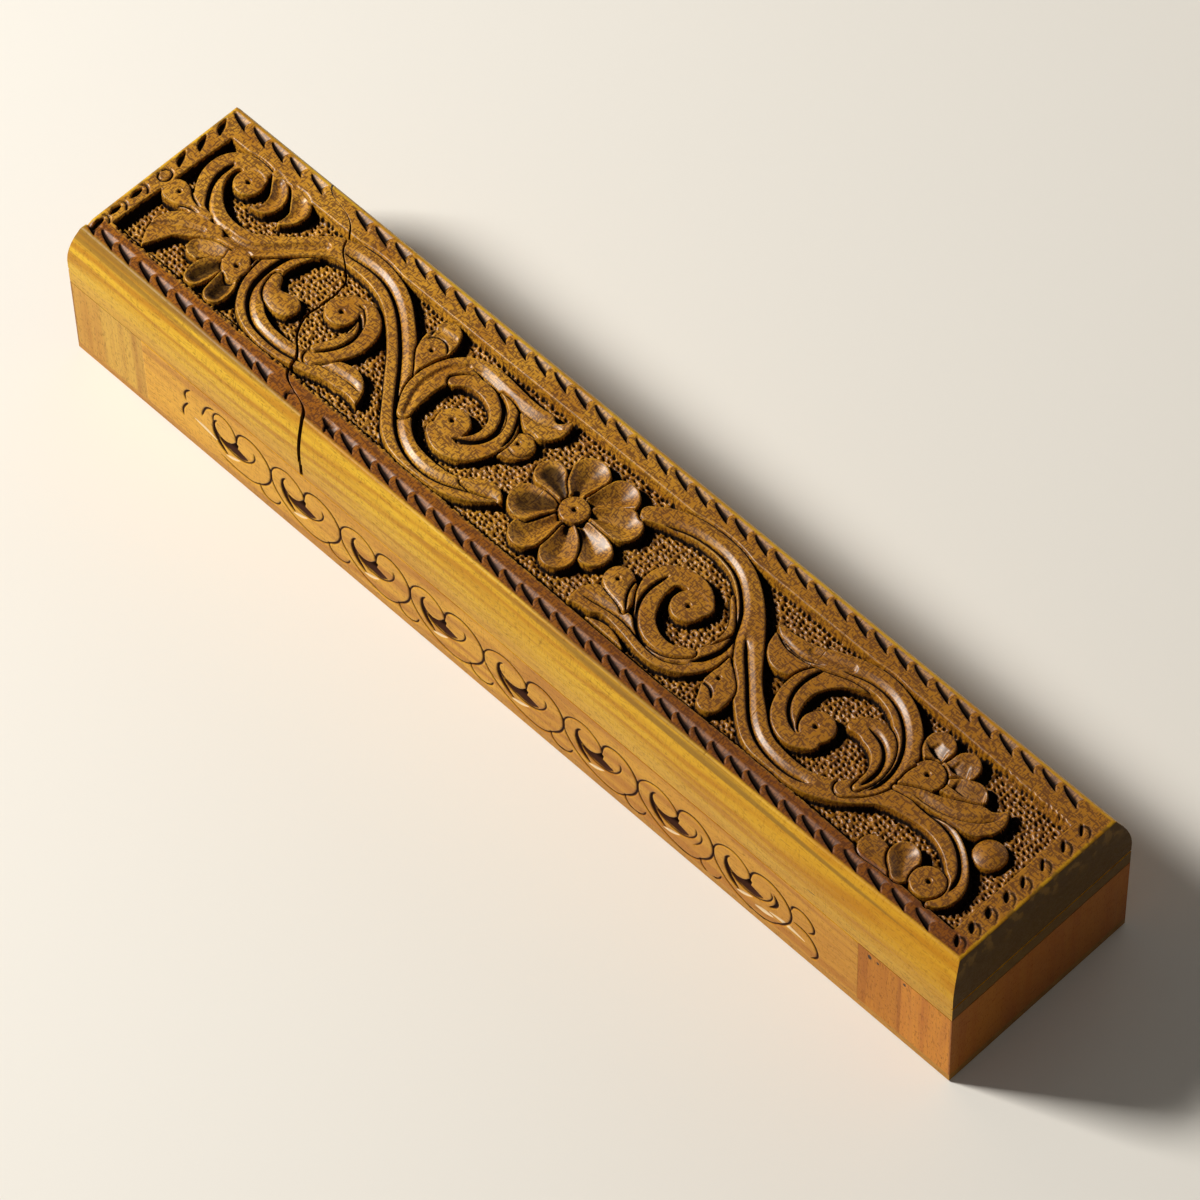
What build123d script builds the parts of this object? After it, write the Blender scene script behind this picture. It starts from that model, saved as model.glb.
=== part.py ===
from build123d import *
import os

# A long wooden puzzle box. Its carved lid is sawn through along a wavy line, and the two halves
# slide apart on hidden runners. Sizes are in millimetres. X runs along the box, Y to its back,
# Z up, and the origin is the middle of the underside.

# Box body
length = 230.0
width = 46.0
bottom_thickness = 2.2
side_height = 19.0
side_thickness = 5.0
left_joint_inset = 19.8
right_joint_inset = 22.8
left_end_board_thickness = 8.0
right_end_board_thickness = 12.3
tenon_length = 4.0

# Ledges inside the long sides, which hold the runners down
ledge_width = 2.2
ledge_height = 3.2

# Runners under the lid halves: a web with a lip that reaches under the ledge
running_gap = 0.3
web_width = 3.0
lip_height = 2.0
short_back_runner_length = 10.2
short_front_runner_length = 29.0
long_runner_start = -54.0
long_runner_length = 50.0

# Lid: a thin lath glued under a thick carved plank
lid_gap = 0.2
lath_thickness = 3.6
plank_thickness = 11.8
straight_edge_height = 3.0
side_inset = 3.1
front_bow = 1.3
end_inset = 1.6
shoulder_rise = 5.0
shoulder_inset_share = 0.36
shadow_chamfer = 0.5

# Sunk field of the carving
left_border = 5.4
right_border = 4.4
back_border = 5.0
front_border = 4.2
field_depth = 2.0

# Saw cut, from the front edge to the back edge, and its width at those two edges
cut_points = [
    (-51.3, -24.0),
    (-52.6, -20.0),
    (-57.4, -17.8),
    (-61.6, -15.6),
    (-63.2, -11.8),
    (-66.6, -8.7),
    (-69.4, -4.0),
    (-69.2, 2.0),
    (-70.4, 7.6),
    (-74.6, 11.0),
    (-76.6, 14.6),
    (-81.0, 17.4),
    (-86.2, 19.0),
    (-88.0, 24.0),
]
kerf_front = 0.9
kerf_back = 0.4

# Raised scrolls: points (x, y, half-width) along the middle of each, from its start to its tip
scrolls = {
    "left_stem": [
        (-98.0, 13.3, 1.1),
        (-104.4, 10.9, 2.2),
        (-103.7, 4.0, 2.7),
        (-96.4, -1.2, 2.9),
        (-88.2, -0.5, 2.8),
        (-80.2, 6.7, 2.3),
        (-71.0, 11.7, 2.8),
        (-60.0, 10.2, 2.9),
        (-50.5, 3.0, 2.9),
        (-42.0, -6.4, 2.9),
        (-35.0, -12.0, 2.7),
        (-23.5, -12.5, 2.3),
        (-14.5, -8.9, 1.2),
    ],
    "left_bud": [(-107.2, -1.5, 2.8), (-104.5, -1.6, 2.2), (-98.5, -1.8, 1.2)],
    "left_lobe": [(-96.0, 14.0, 0.9), (-91.8, 11.6, 2.0), (-93.0, 8.0, 1.1)],
    "small_lobe": [(-90.0, 14.4, 0.9), (-86.5, 12.2, 1.8), (-86.9, 9.4, 0.9)],
    "left_leaf": [(-95.0, -3.4, 2.0), (-102.2, -7.4, 2.9), (-103.4, -13.6, 0.6)],
    "first_ring": [
        (-79.5, 5.4, 2.1),
        (-81.5, -4.0, 2.9),
        (-76.0, -11.2, 2.6),
        (-65.5, -12.4, 2.3),
        (-56.0, -9.6, 2.6),
        (-49.5, -10.2, 1.7),
    ],
    "first_curl": [(-65.5, 4.4, 1.0), (-58.6, 3.2, 1.8), (-57.4, -4.2, 1.8), (-61.0, -10.0, 1.6)],
    "first_comma": [(-79.0, -2.0, 1.2), (-77.0, -4.8, 2.0), (-72.5, -5.2, 2.4)],
    "second_ring": [
        (-40.0, -6.5, 1.5),
        (-41.7, 1.5, 2.7),
        (-37.6, 8.8, 2.8),
        (-28.0, 10.2, 2.2),
        (-19.3, 9.0, 3.0),
        (-16.0, 12.6, 0.8),
    ],
    "second_curl": [
        (-37.0, 6.0, 1.4),
        (-29.4, 6.8, 2.2),
        (-24.2, 1.6, 2.9),
        (-25.6, -4.2, 2.4),
        (-31.5, -6.2, 2.0),
    ],
    "second_bud": [(-44.2, 0.8, 0.5), (-46.2, 6.6, 2.9), (-46.8, 12.0, 2.9)],
    "third_ring": [
        (39.0, 3.0, 1.2),
        (38.3, -4.8, 2.4),
        (30.0, -11.4, 2.7),
        (21.0, -10.9, 2.0),
        (13.0, -12.2, 2.8),
    ],
    "third_curl": [
        (34.8, -7.2, 1.0),
        (28.0, -9.6, 1.6),
        (21.4, -4.6, 2.3),
        (20.9, 2.4, 2.4),
        (27.4, 3.4, 2.0),
        (29.8, 1.4, 1.9),
    ],
    "third_bud": [(18.6, -8.6, 0.6), (16.2, -6.6, 1.8), (13.6, -4.0, 2.8)],
    "right_stem": [
        (8.4, 8.9, 1.8),
        (18.0, 12.6, 2.3),
        (29.5, 11.6, 2.4),
        (38.0, 5.2, 2.6),
        (46.6, -4.7, 2.8),
        (56.5, -12.0, 2.8),
        (67.5, -12.6, 2.4),
        (76.0, -8.4, 2.4),
        (85.0, -3.2, 2.4),
        (96.0, -3.8, 2.3),
        (103.0, -10.8, 1.8),
        (101.5, -15.4, 0.8),
    ],
    "lower_bud": [(41.4, -2.6, 1.2), (43.0, -7.8, 2.9), (44.8, -12.8, 2.6)],
    "upper_leaf": [(58.0, 10.0, 1.5), (50.0, 7.6, 1.6), (43.2, 7.8, 0.8)],
    "lower_leaf": [(55.0, 6.4, 1.6), (48.0, 4.0, 2.5), (43.6, 6.2, 0.8)],
    "fourth_ring": [
        (56.5, 9.8, 1.6),
        (65.5, 11.8, 2.6),
        (74.8, 7.4, 2.8),
        (77.8, -1.6, 2.6),
        (74.4, -8.6, 1.8),
    ],
    "fourth_curl": [
        (64.0, 9.9, 0.8),
        (56.2, 6.0, 2.4),
        (54.6, -2.2, 2.8),
        (60.5, -7.4, 1.7),
        (63.6, -5.8, 1.6),
    ],
    "fourth_comma": [(75.8, -6.8, 0.8), (74.4, 1.2, 2.3), (67.6, 3.0, 2.2)],
    "right_leaf": [(80.4, -1.4, 1.8), (89.0, 1.4, 2.3), (97.4, 5.0, 2.9), (98.6, 8.6, 0.5)],
}
scroll_arc = 7.0
tip_share = 0.8

# Round buttons that the scrolls curl up to, with their radius, and berries at the ends
buttons = [
    (-98.8, 9.4, 3.1),
    (-64.8, 1.2, 3.4),
    (-31.8, -2.1, 3.5),
    (27.5, -0.4, 3.5),
    (62.1, -2.6, 3.5),
    (98.3, -12.2, 3.4),
]

# Flower in the middle, and the petals of the part flowers at the ends
flower_x = -2.0
flower_y = -0.1
petal_count = 8
petal_turn = 27.0
petal_reach = 8.8
petal_radius = 3.6
petal_hollow_radius = 2.8
petal_hollow_depth = 1.0
end_petals = [
    (-87.2, -4.8, 3.6),
    (-92.6, -6.8, 3.3),
    (-89.8, -11.6, 2.6),
    (-84.6, -11.2, 2.6),
    (83.2, 3.7, 3.3),
    (80.4, 9.2, 2.8),
    (86.2, 9.2, 2.8),
    (90.6, 6.0, 2.8),
    (102.0, 0.0, 3.2),
    (92.2, -12.0, 2.9),
    (86.8, -13.2, 2.4),
]

# Heights and places that follow from the sizes above
joint_height = bottom_thickness + side_height
lath_bottom = joint_height + lid_gap
plank_bottom = lath_bottom + lath_thickness
lid_top = plank_bottom + plank_thickness
half_length = length / 2
half_width = width / 2
left_joint = left_joint_inset - half_length
right_joint = half_length - right_joint_inset
left_block_end = left_end_board_thickness - half_length
right_block_end = half_length - right_end_board_thickness
inner_half_width = half_width - side_thickness
web_outside = inner_half_width - ledge_width - running_gap
web_inside = web_outside - web_width
lip_outside = inner_half_width - running_gap
lip_top = joint_height - ledge_height - running_gap
lip_bottom = lip_top - lip_height
long_travel = right_block_end - running_gap - (long_runner_start + long_runner_length)
short_travel = left_joint - running_gap - left_block_end
hollow_sphere = (petal_hollow_radius**2 + petal_hollow_depth**2) / (2 * petal_hollow_depth)


def runner_outline(grow, top):
    """Section of the front runner seen along +X, grown outwards by a clearance on every side."""
    return [
        (-web_inside + grow, top),
        (-web_inside + grow, lip_bottom - grow),
        (-lip_outside - grow, lip_bottom - grow),
        (-lip_outside - grow, lip_top + grow),
        (-web_outside - grow, lip_top + grow),
        (-web_outside - grow, top),
    ]


def arcs_along(points):
    """Chain of arcs laid along the spline through the points, which takes few facets."""
    guide = Spline(*points, mode=Mode.PRIVATE)
    count = max(2, round(guide.length / scroll_arc))
    for k in range(count):
        ThreePointArc(guide @ (k / count), guide @ ((k + 0.5) / count), guide @ ((k + 1) / count))


def lid_half(side):
    """Plan of one lid half, beyond the box all round and bounded by its own side of the kerf.

    side is -1 for the short half and +1 for the long half.
    """
    front = cut_points[0]
    back = cut_points[-1]
    run = back[1] - front[1]
    edge = []
    for x, y in cut_points:
        kerf = kerf_front + (kerf_back - kerf_front) * (y - front[1]) / run
        edge.append((x + side * kerf / 2, y))
    outside = side * length
    with BuildSketch(Plane.XY, mode=Mode.PRIVATE) as plan:
        with BuildLine():
            arcs_along(edge)
            Polyline(edge[-1], (outside, edge[-1][1]), (outside, edge[0][1]), edge[0])
        make_face()
    return plan.sketch


def lid_section(height, inset_share):
    """Outline of the plank at a height; the front edge bows outwards as the inset grows."""
    x = half_length - end_inset * inset_share
    y = half_width - side_inset * inset_share
    bow = front_bow * inset_share
    with BuildSketch(Plane.XY.offset(height), mode=Mode.PRIVATE) as outline:
        with BuildLine():
            Polyline((x, -y), (x, y), (-x, y), (-x, -y))
            if bow:
                ThreePointArc((-x, -y), (0, -y - bow), (x, -y))
            else:
                Line((-x, -y), (x, -y))
        make_face()
    return outline.sketch


# Thin board under the whole box, its edge a strip along the sides
with BuildPart() as bottom_board:
    with BuildSketch():
        Rectangle(length, width)
    extrude(amount=bottom_thickness)
    fillet(bottom_board.edges().group_by(Axis.Z)[0], 0.4)
bottom_board.part.label = "bottom_board"

# Long sides, between the end blocks
side_middle = (left_joint + right_joint) / 2
with BuildPart() as front_side_board:
    with BuildSketch(Plane.XY.offset(bottom_thickness)):
        with Locations((side_middle, -half_width + side_thickness / 2)):
            Rectangle(right_joint - left_joint, side_thickness)
    extrude(amount=side_height)
front_side_board.part.label = "front_side_board"

with BuildPart() as back_side_board:
    with BuildSketch(Plane.XY.offset(bottom_thickness)):
        with Locations((side_middle, half_width - side_thickness / 2)):
            Rectangle(right_joint - left_joint, side_thickness)
    extrude(amount=side_height)
back_side_board.part.label = "back_side_board"


def end_block(name, joint, outer):
    """End block with a tenon between the long sides, slotted right through for both runners."""
    inward = 1 if joint < 0 else -1
    tenon_end = joint + inward * tenon_length
    with BuildPart() as block:
        with BuildSketch(Plane.XY.offset(bottom_thickness)):
            with Locations(((joint + outer) / 2, 0)):
                Rectangle(abs(joint - outer), width)
            with Locations(((joint + tenon_end) / 2, 0)):
                Rectangle(tenon_length, 2 * inner_half_width)
        extrude(amount=side_height)
        with BuildSketch(Plane.YZ.offset(min(tenon_end, outer))):
            with BuildLine():
                Polyline(*runner_outline(running_gap, joint_height), close=True)
            make_face()
            mirror(about=Plane.YZ)
        extrude(amount=abs(tenon_end - outer), mode=Mode.SUBTRACT)
    block.part.label = name
    return block


left_end_block = end_block("left_end_block", left_joint, left_block_end)
right_end_block = end_block("right_end_block", right_joint, right_block_end)


def end_board(name, inner, outer):
    """Board with upright grain glued over an end block; it closes the runner slots."""
    with BuildPart() as board:
        with BuildSketch(Plane.XY.offset(bottom_thickness)):
            with Locations(((inner + outer) / 2, 0)):
                Rectangle(abs(outer - inner), width)
        extrude(amount=side_height)
    board.part.label = name
    return board


left_end_board = end_board("left_end_board", left_block_end, -half_length)
right_end_board = end_board("right_end_board", right_block_end, half_length)

# Ledge strips glued along the long sides, flush with their top edges
ledge_start = left_joint + tenon_length
ledge_end = right_joint - tenon_length
with BuildPart() as front_ledge:
    with BuildSketch(Plane.XY.offset(joint_height - ledge_height)):
        with Locations(((ledge_start + ledge_end) / 2, -inner_half_width + ledge_width / 2)):
            Rectangle(ledge_end - ledge_start, ledge_width)
    extrude(amount=ledge_height)
front_ledge.part.label = "front_ledge"

with BuildPart() as back_ledge:
    with BuildSketch(Plane.XY.offset(joint_height - ledge_height)):
        with Locations(((ledge_start + ledge_end) / 2, inner_half_width - ledge_width / 2)):
            Rectangle(ledge_end - ledge_start, ledge_width)
    extrude(amount=ledge_height)
back_ledge.part.label = "back_ledge"


def runner(name, start, run, at_back):
    """Strip glued under a lid half: its lip slides under the ledge and through the end slots."""
    with BuildPart() as strip:
        with BuildSketch(Plane.YZ.offset(start)):
            with BuildLine():
                Polyline(*runner_outline(0, lath_bottom), close=True)
            make_face()
            if at_back:
                mirror(about=Plane.YZ, mode=Mode.REPLACE)
        extrude(amount=run)
    strip.part.label = name
    return strip


short_front_runner = runner("short_front_runner", left_joint, short_front_runner_length, False)
short_back_runner = runner("short_back_runner", left_joint, short_back_runner_length, True)
long_front_runner = runner("long_front_runner", long_runner_start, long_runner_length, False)
long_back_runner = runner("long_back_runner", long_runner_start, long_runner_length, True)


def lid_lath(name, side):
    """Thin board under one half of the lid, cut by the same saw line."""
    with BuildPart() as lath:
        with BuildSketch(Plane.XY.offset(lath_bottom)):
            Rectangle(length, width)
            add(lid_half(side).moved(Location((0, 0, lath_bottom))), mode=Mode.INTERSECT)
        extrude(amount=lath_thickness)
    lath.part.label = name
    return lath


short_lid_lath = lid_lath("short_lid_lath", -1)
long_lid_lath = lid_lath("long_lid_lath", 1)


def raised_scroll(points):
    """Face of one scroll: its half-width is set off to both sides of its middle line, and arcs
    close its two ends."""
    left_side = []
    right_side = []
    ahead = []
    for k, (x, y, half) in enumerate(points):
        before = points[max(k - 1, 0)]
        after = points[min(k + 1, len(points) - 1)]
        along = Vector(after[0] - before[0], after[1] - before[1]).normalized()
        across = Vector(-along.Y, along.X)
        left_side.append(Vector(x, y) + across * half)
        right_side.append(Vector(x, y) - across * half)
        ahead.append(along * half * tip_share)
    start = (left_side[0] + right_side[0]) * 0.5 - ahead[0]
    tip = (left_side[-1] + right_side[-1]) * 0.5 + ahead[-1]
    with BuildSketch(mode=Mode.PRIVATE) as outline:
        with BuildLine():
            arcs_along(left_side)
            ThreePointArc(left_side[-1], tip, right_side[-1])
            arcs_along(right_side)
            ThreePointArc(left_side[0], start, right_side[0])
        make_face()
    return outline.sketch


# Flat-topped forms of the carving, as high as the border round them
with BuildSketch(Plane.XY.offset(lid_top - field_depth)) as raised_forms:
    for points in scrolls.values():
        add(raised_scroll(points))
    for x, y, radius in buttons + end_petals:
        with Locations((x, y)):
            Circle(radius)
    with Locations((flower_x, flower_y)):
        with PolarLocations(petal_reach, petal_count, start_angle=petal_turn):
            Circle(petal_radius)
        Circle(petal_reach)


def lid_plank(name, side):
    """Carved plank of one half: upright edge, then sides that lean in to a bowed arris."""
    straight_top = plank_bottom + straight_edge_height
    with BuildPart() as plank:
        with BuildSketch(Plane.XY.offset(plank_bottom)):
            Rectangle(length, width)
        extrude(amount=straight_edge_height)
        ends = plank.faces().filter_by(Axis.X).edges().group_by(Axis.Z)[0]
        chamfer(ends, shadow_chamfer)
        loft(
            [
                lid_section(straight_top, 0),
                lid_section(straight_top + shoulder_rise, shoulder_inset_share),
                lid_section(lid_top, 1),
            ]
        )
        with BuildSketch(Plane.XY.offset(lid_top)):
            left = -half_length + end_inset + left_border
            right = half_length - end_inset - right_border
            front = -half_width + side_inset + front_border
            back = half_width - side_inset - back_border
            with Locations(((left + right) / 2, (front + back) / 2)):
                Rectangle(right - left, back - front)
        extrude(amount=-field_depth, mode=Mode.SUBTRACT)
        extrude(raised_forms.sketch, amount=field_depth)
        with Locations((flower_x, flower_y, lid_top + hollow_sphere - petal_hollow_depth)):
            with PolarLocations(petal_reach, petal_count, start_angle=petal_turn):
                Sphere(hollow_sphere, mode=Mode.SUBTRACT)
        with BuildSketch(Plane.XY.offset(plank_bottom)):
            add(lid_half(side).moved(Location((0, 0, plank_bottom))))
        extrude(amount=plank_thickness, mode=Mode.INTERSECT)
    plank.part.label = name
    return plank


short_lid_plank = lid_plank("short_lid_plank", -1)
long_lid_plank = lid_plank("long_lid_plank", 1)

pieces = [
    bottom_board,
    front_side_board,
    back_side_board,
    left_end_block,
    right_end_block,
    left_end_board,
    right_end_board,
    front_ledge,
    back_ledge,
    short_front_runner,
    short_back_runner,
    long_front_runner,
    long_back_runner,
    short_lid_lath,
    long_lid_lath,
    short_lid_plank,
    long_lid_plank,
]
os.makedirs("parts", exist_ok=True)
for piece in pieces:
    export_step(piece.part, f"parts/{piece.part.label}.step")
print("short half travels", short_travel, "long half travels", long_travel)
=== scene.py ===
import math

import bpy
import numpy as np
from mathutils import Matrix, Vector


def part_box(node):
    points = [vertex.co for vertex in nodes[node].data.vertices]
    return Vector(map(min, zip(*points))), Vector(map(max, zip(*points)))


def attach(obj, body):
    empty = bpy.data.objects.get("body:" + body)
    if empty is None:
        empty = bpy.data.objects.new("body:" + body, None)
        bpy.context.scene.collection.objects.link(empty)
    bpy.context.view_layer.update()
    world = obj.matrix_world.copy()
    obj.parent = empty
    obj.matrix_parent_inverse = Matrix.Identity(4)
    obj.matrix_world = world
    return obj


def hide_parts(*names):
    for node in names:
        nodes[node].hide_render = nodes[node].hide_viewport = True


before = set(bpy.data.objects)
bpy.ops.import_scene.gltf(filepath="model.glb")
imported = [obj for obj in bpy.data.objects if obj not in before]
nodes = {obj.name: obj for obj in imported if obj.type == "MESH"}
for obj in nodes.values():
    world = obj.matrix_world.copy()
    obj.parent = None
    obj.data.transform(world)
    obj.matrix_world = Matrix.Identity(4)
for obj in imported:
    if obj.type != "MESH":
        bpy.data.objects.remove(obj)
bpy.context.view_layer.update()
mm = 0.001

# The box lies as the photograph shows it, seen from its front right corner and well above, with
# its length from the upper left to the lower right. The photographer stood far off, so the lens
# is a long one. The picture is square.
camera_aim = Vector((6.31, -2.23, 18.0)) * mm
camera_azimuth = math.radians(46.74)
camera_elevation = math.radians(56.31)
camera_tilt = math.radians(-1.823)
camera_distance = 1244.6 * mm
level = math.cos(camera_elevation)
towards_camera = Vector((
    math.sin(camera_azimuth) * level,
    -math.cos(camera_azimuth) * level,
    math.sin(camera_elevation),
))
picture_right = (-towards_camera).cross(Vector((0, 0, 1))).normalized()
picture_up = picture_right.cross(-towards_camera)
tilted_right = picture_right * math.cos(camera_tilt) + picture_up * math.sin(camera_tilt)
tilted_up = picture_up * math.cos(camera_tilt) - picture_right * math.sin(camera_tilt)
camera_data = bpy.data.cameras.new("camera")
camera_data.lens = 203.5
camera_data.sensor_width = 36
camera = bpy.data.objects.new("camera", camera_data)
bpy.context.scene.collection.objects.link(camera)
turn = Matrix((tilted_right, tilted_up, towards_camera)).transposed().to_4x4()
camera.matrix_world = Matrix.Translation(camera_aim + towards_camera * camera_distance) @ turn
bpy.context.scene.camera = camera

# The bottom is a thin board that closes the whole underside; its edge shows as a narrow strip
# along the foot of the sides. Like the rest of the box it is a pale, close wood, planed, with
# short ray flecks and fine pores, and brushed with a yellowish varnish.


class Shade:
    """A value on its way through a material. Arithmetic on it adds Math nodes."""

    def __init__(self, tree, socket):
        self.tree = tree
        self.socket = socket

    def node(self, kind, settings, inputs, output=0):
        """Adds a node: first its settings, then a value or a link for each socket named."""
        made = self.tree.nodes.new(kind)
        for name, setting in settings.items():
            setattr(made, name, setting)
        for name, value in inputs.items():
            if isinstance(value, Shade):
                self.tree.links.new(value.socket, made.inputs[name])
            else:
                made.inputs[name].default_value = value
        return Shade(self.tree, made.outputs[output])

    def math(self, operation, *values):
        return self.node("ShaderNodeMath", {"operation": operation}, dict(enumerate(values)))

    def __add__(self, other):
        return self.math("ADD", self, other)

    __radd__ = __add__

    def __sub__(self, other):
        return self.math("SUBTRACT", self, other)

    def __rsub__(self, other):
        return self.math("SUBTRACT", other, self)

    def __mul__(self, other):
        return self.math("MULTIPLY", self, other)

    __rmul__ = __mul__

    def stretched(self, along_x, along_y, along_z):
        """This point with each of its coordinates multiplied."""
        scale = (along_x, along_y, along_z)
        return self.node("ShaderNodeVectorMath", {"operation": "MULTIPLY"}, {0: self, 1: scale})

    def part(self, axis):
        """One coordinate of this point: axis is 0, 1 or 2."""
        return self.node("ShaderNodeSeparateXYZ", {}, {0: self}, output=axis)

    def minus(self, point):
        """The way to this point from a fixed one."""
        return self.node("ShaderNodeVectorMath", {"operation": "SUBTRACT"}, {0: self, 1: point})

    def length(self):
        return self.node("ShaderNodeVectorMath", {"operation": "LENGTH"}, {0: self}, output=1)

    def clouds(self, detail=2.0, roughness=0.5):
        """Smooth noise from 0 to 1 with cells one unit wide at this point."""
        sockets = {"Vector": self, "Scale": 1.0, "Detail": detail, "Roughness": roughness}
        return self.node("ShaderNodeTexNoise", {}, sockets)

    def between(self, low, high):
        """0 below low, 1 above high, with a smooth rise from one to the other."""
        sockets = {"Value": self, "From Min": low, "From Max": high}
        return self.node("ShaderNodeMapRange", {"interpolation_type": "SMOOTHSTEP"}, sockets)

    def mix(self, first, second):
        """The first colour where this value is 0 and the second where it is 1."""
        sockets = {0: self, 6: first, 7: second}
        return self.node("ShaderNodeMix", {"data_type": "RGBA"}, sockets, output=2)


def rgb(red, green, blue):
    return (red, green, blue, 1.0)


ring_sway = 30.0
streak_share, fibre_share, blotch_share = 0.38, 0.3, 0.22
pore_share, fleck_share, pore_darkness = 0.45, 0.25, 0.42
end_darkness = 0.12
warmth = (1.0, 0.85, 0.3)
knot_brown = rgb(0.035, 0.013, 0.004)
grain_relief = 0.12 * mm


def varnished(name, pale, dark, grain="x", ring_pitch=1.9, ring_strength=0.35, ring_place=(0, 9, -30),
              lean=0.0, roughness=0.38, coat=0.12, end_shade=0.5, right_end_tone_and_shade=0.0, spots=(), finish=None):
    """Wood cut along its grain. Growth rings are a sine of the distance from the heart of the
    trunk, which may lean against the board, bent by slow noise by up to ring_sway radians; streaks,
    fibres, pores and flecks are noise drawn out along or across the grain. End grain drinks more
    varnish and is darker, by end_shade. Towards the right end the wood turns darker and more orange
    by the share given after end_shade: partly its tone, partly painted shade where the light falls off.
    Everything is read from the place in the box, in metres, and from the way the surface faces. spots
    are pin knots: place along the box and up, width and height. finish adds what lies on the wood."""
    material = bpy.data.materials.new(name)
    material.use_nodes = True
    tree = material.node_tree
    surface = tree.nodes["Principled BSDF"]
    whereabouts = tree.nodes.new("ShaderNodeTexCoord")
    place = Shade(tree, whereabouts.outputs["Object"])
    facing = Shade(tree, whereabouts.outputs["Normal"])
    long_way, cross_way = (1, 0) if grain == "x" else (0, 1)

    def drawn_out(along, across):
        x, y, z = (along, across, across) if grain == "x" else (across, across, along)
        return place.stretched(x, y, z)

    sway = drawn_out(9, 70).clouds(3.0)
    from_heart = place.minus([value * mm for value in ring_place])
    distance = from_heart.stretched(1 - long_way, 1, 1 - cross_way).length()
    if lean:
        distance = distance + lean * place.part(0)
    phase = distance * (2 * math.pi / (ring_pitch * mm)) + sway * ring_sway
    rings = phase.math("SINE", phase) * 0.5 + 0.5
    ring_mask = rings * rings * drawn_out(14, 160).clouds(2.0).between(0.3, 0.6)
    fibre = drawn_out(140, 2600).clouds(3.0)
    streak = drawn_out(16, 420).clouds(4.0)
    pores = drawn_out(800, 3800).clouds(1.0).between(0.58, 0.68)
    flecks = drawn_out(3300, 560).clouds(1.0).between(0.58, 0.68)
    blotch = place.stretched(34, 60, 60).clouds(2.0)
    depth = ring_mask * ring_strength + streak.between(0.42, 0.7) * streak_share
    depth = depth + fibre.between(0.3, 0.75) * fibre_share + blotch.between(0.35, 0.75) * blotch_share
    colour = depth.mix(rgb(*pale), rgb(*dark))
    speckle = pores * pore_share + flecks * fleck_share
    colour = speckle.mix(colour, rgb(*(value * pore_darkness for value in dark)))
    # Towards the right end the wood turns darker and more orange: partly its tone, partly painted shade where
    # the light falls off.
    if right_end_tone_and_shade:
        warm_shade = rgb(*(value * share for value, share in zip(dark, warmth)))
        colour = (place.part(0).between(-0.02, 0.1) * right_end_tone_and_shade).mix(colour, warm_shade)
    along = facing.part(0 if grain == "x" else 2)
    end_grain = along.math("ABSOLUTE", along).between(0.6, 0.9) * end_shade
    colour = end_grain.mix(colour, rgb(*(value * end_darkness for value in dark)))
    for spot_x, spot_z, spot_width, spot_height in spots:
        offset = place.minus((spot_x * mm, 0, spot_z * mm))
        away = offset.stretched(1 / (spot_width * mm), 0, 1 / (spot_height * mm)).length()
        colour = (1 - away.between(0.7, 1.15)).mix(colour, knot_brown)
    shine = roughness + streak * 0.1 + speckle * 0.2
    height = fibre * 0.35 + streak * 0.3 - speckle * 0.8
    varnish = 1 - end_grain
    if finish:
        colour, shine, height, share = finish(place, colour, shine, height)
        varnish = varnish * share
    tree.links.new((varnish * coat).socket, surface.inputs["Coat Weight"])
    tree.links.new(colour.socket, surface.inputs["Base Color"])
    tree.links.new(shine.socket, surface.inputs["Roughness"])
    surface.inputs["Coat Roughness"].default_value = 0.38
    surface.inputs["Specular IOR Level"].default_value = 0.15
    bump = height.node("ShaderNodeBump", {}, {"Strength": 0.35, "Distance": grain_relief, "Height": height})
    tree.links.new(bump.socket, surface.inputs["Normal"])
    return material


def dressed(node, material):
    mesh = nodes[node].data
    mesh.materials.clear()
    mesh.materials.append(material)


bottom_wood = varnished("bottom wood", (0.53, 0.245, 0.015), (0.36, 0.14, 0.004), ring_place=(0, 4, 22))
dressed("bottom_board", bottom_wood)

# The front side is a straight board of the same pale wood, its grain along the box. A row of
# eight heart-shaped loops is cut into it with a fine V tool and darkened with a hot point. Below
# the thickest strokes lie painted highlights: pale spots in shallow hollows, standing for glints.
net_pitch = 0.1
facet_slope = 0.55
standing_above, deepest_below, wall_width = 0.3, 0.2, 0.26
outline_place, outline_half = 0.12, 0.34
foot_depth, foot_place, foot_half = 0.3, 0.4, 0.6
thinnest = 0.02


def smooth_line(points, step=0.4):
    """Natural cubic spline through the points, over the length of the chords between them. Each
    column, place or half-width, is its own cubic in that length, straight at both ends."""
    given = np.array(points, float)
    chord = np.r_[0, np.cumsum(np.hypot(*np.diff(given[:, :2], axis=0).T))]
    gap = np.diff(chord)
    bend = np.zeros_like(given)
    if len(given) > 2:
        system = np.diag(2 * (gap[:-1] + gap[1:])) + np.diag(gap[1:-1], 1) + np.diag(gap[1:-1], -1)
        bend[1:-1] = np.linalg.solve(system, 6 * np.diff(np.diff(given, axis=0) / gap[:, None], axis=0))
    at = np.linspace(0, chord[-1], int(chord[-1] / step) + 2)
    piece = np.clip(np.searchsorted(chord, at, side="right") - 1, 0, len(gap) - 1)
    before = ((chord[piece + 1] - at) / gap[piece])[:, None]
    after = 1 - before
    pull = (before**3 - before) * bend[piece] + (after**3 - after) * bend[piece + 1]
    line = before * given[piece] + after * given[piece + 1] + pull * gap[piece][:, None] ** 2 / 6
    line[:, 2:] = np.maximum(line[:, 2:], thinnest)
    return line


def ease(share):
    """0 below 0, 1 above 1, and a smooth rise between."""
    share = np.clip(share, 0, 1)
    return share * share * (3 - 2 * share)


def widened(net, axis, before, after):
    """The net with its border cells repeated outwards along one axis."""
    return np.pad(net, [(before, after) if k == axis else (0, 0) for k in (0, 1)], mode="edge")


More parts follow.
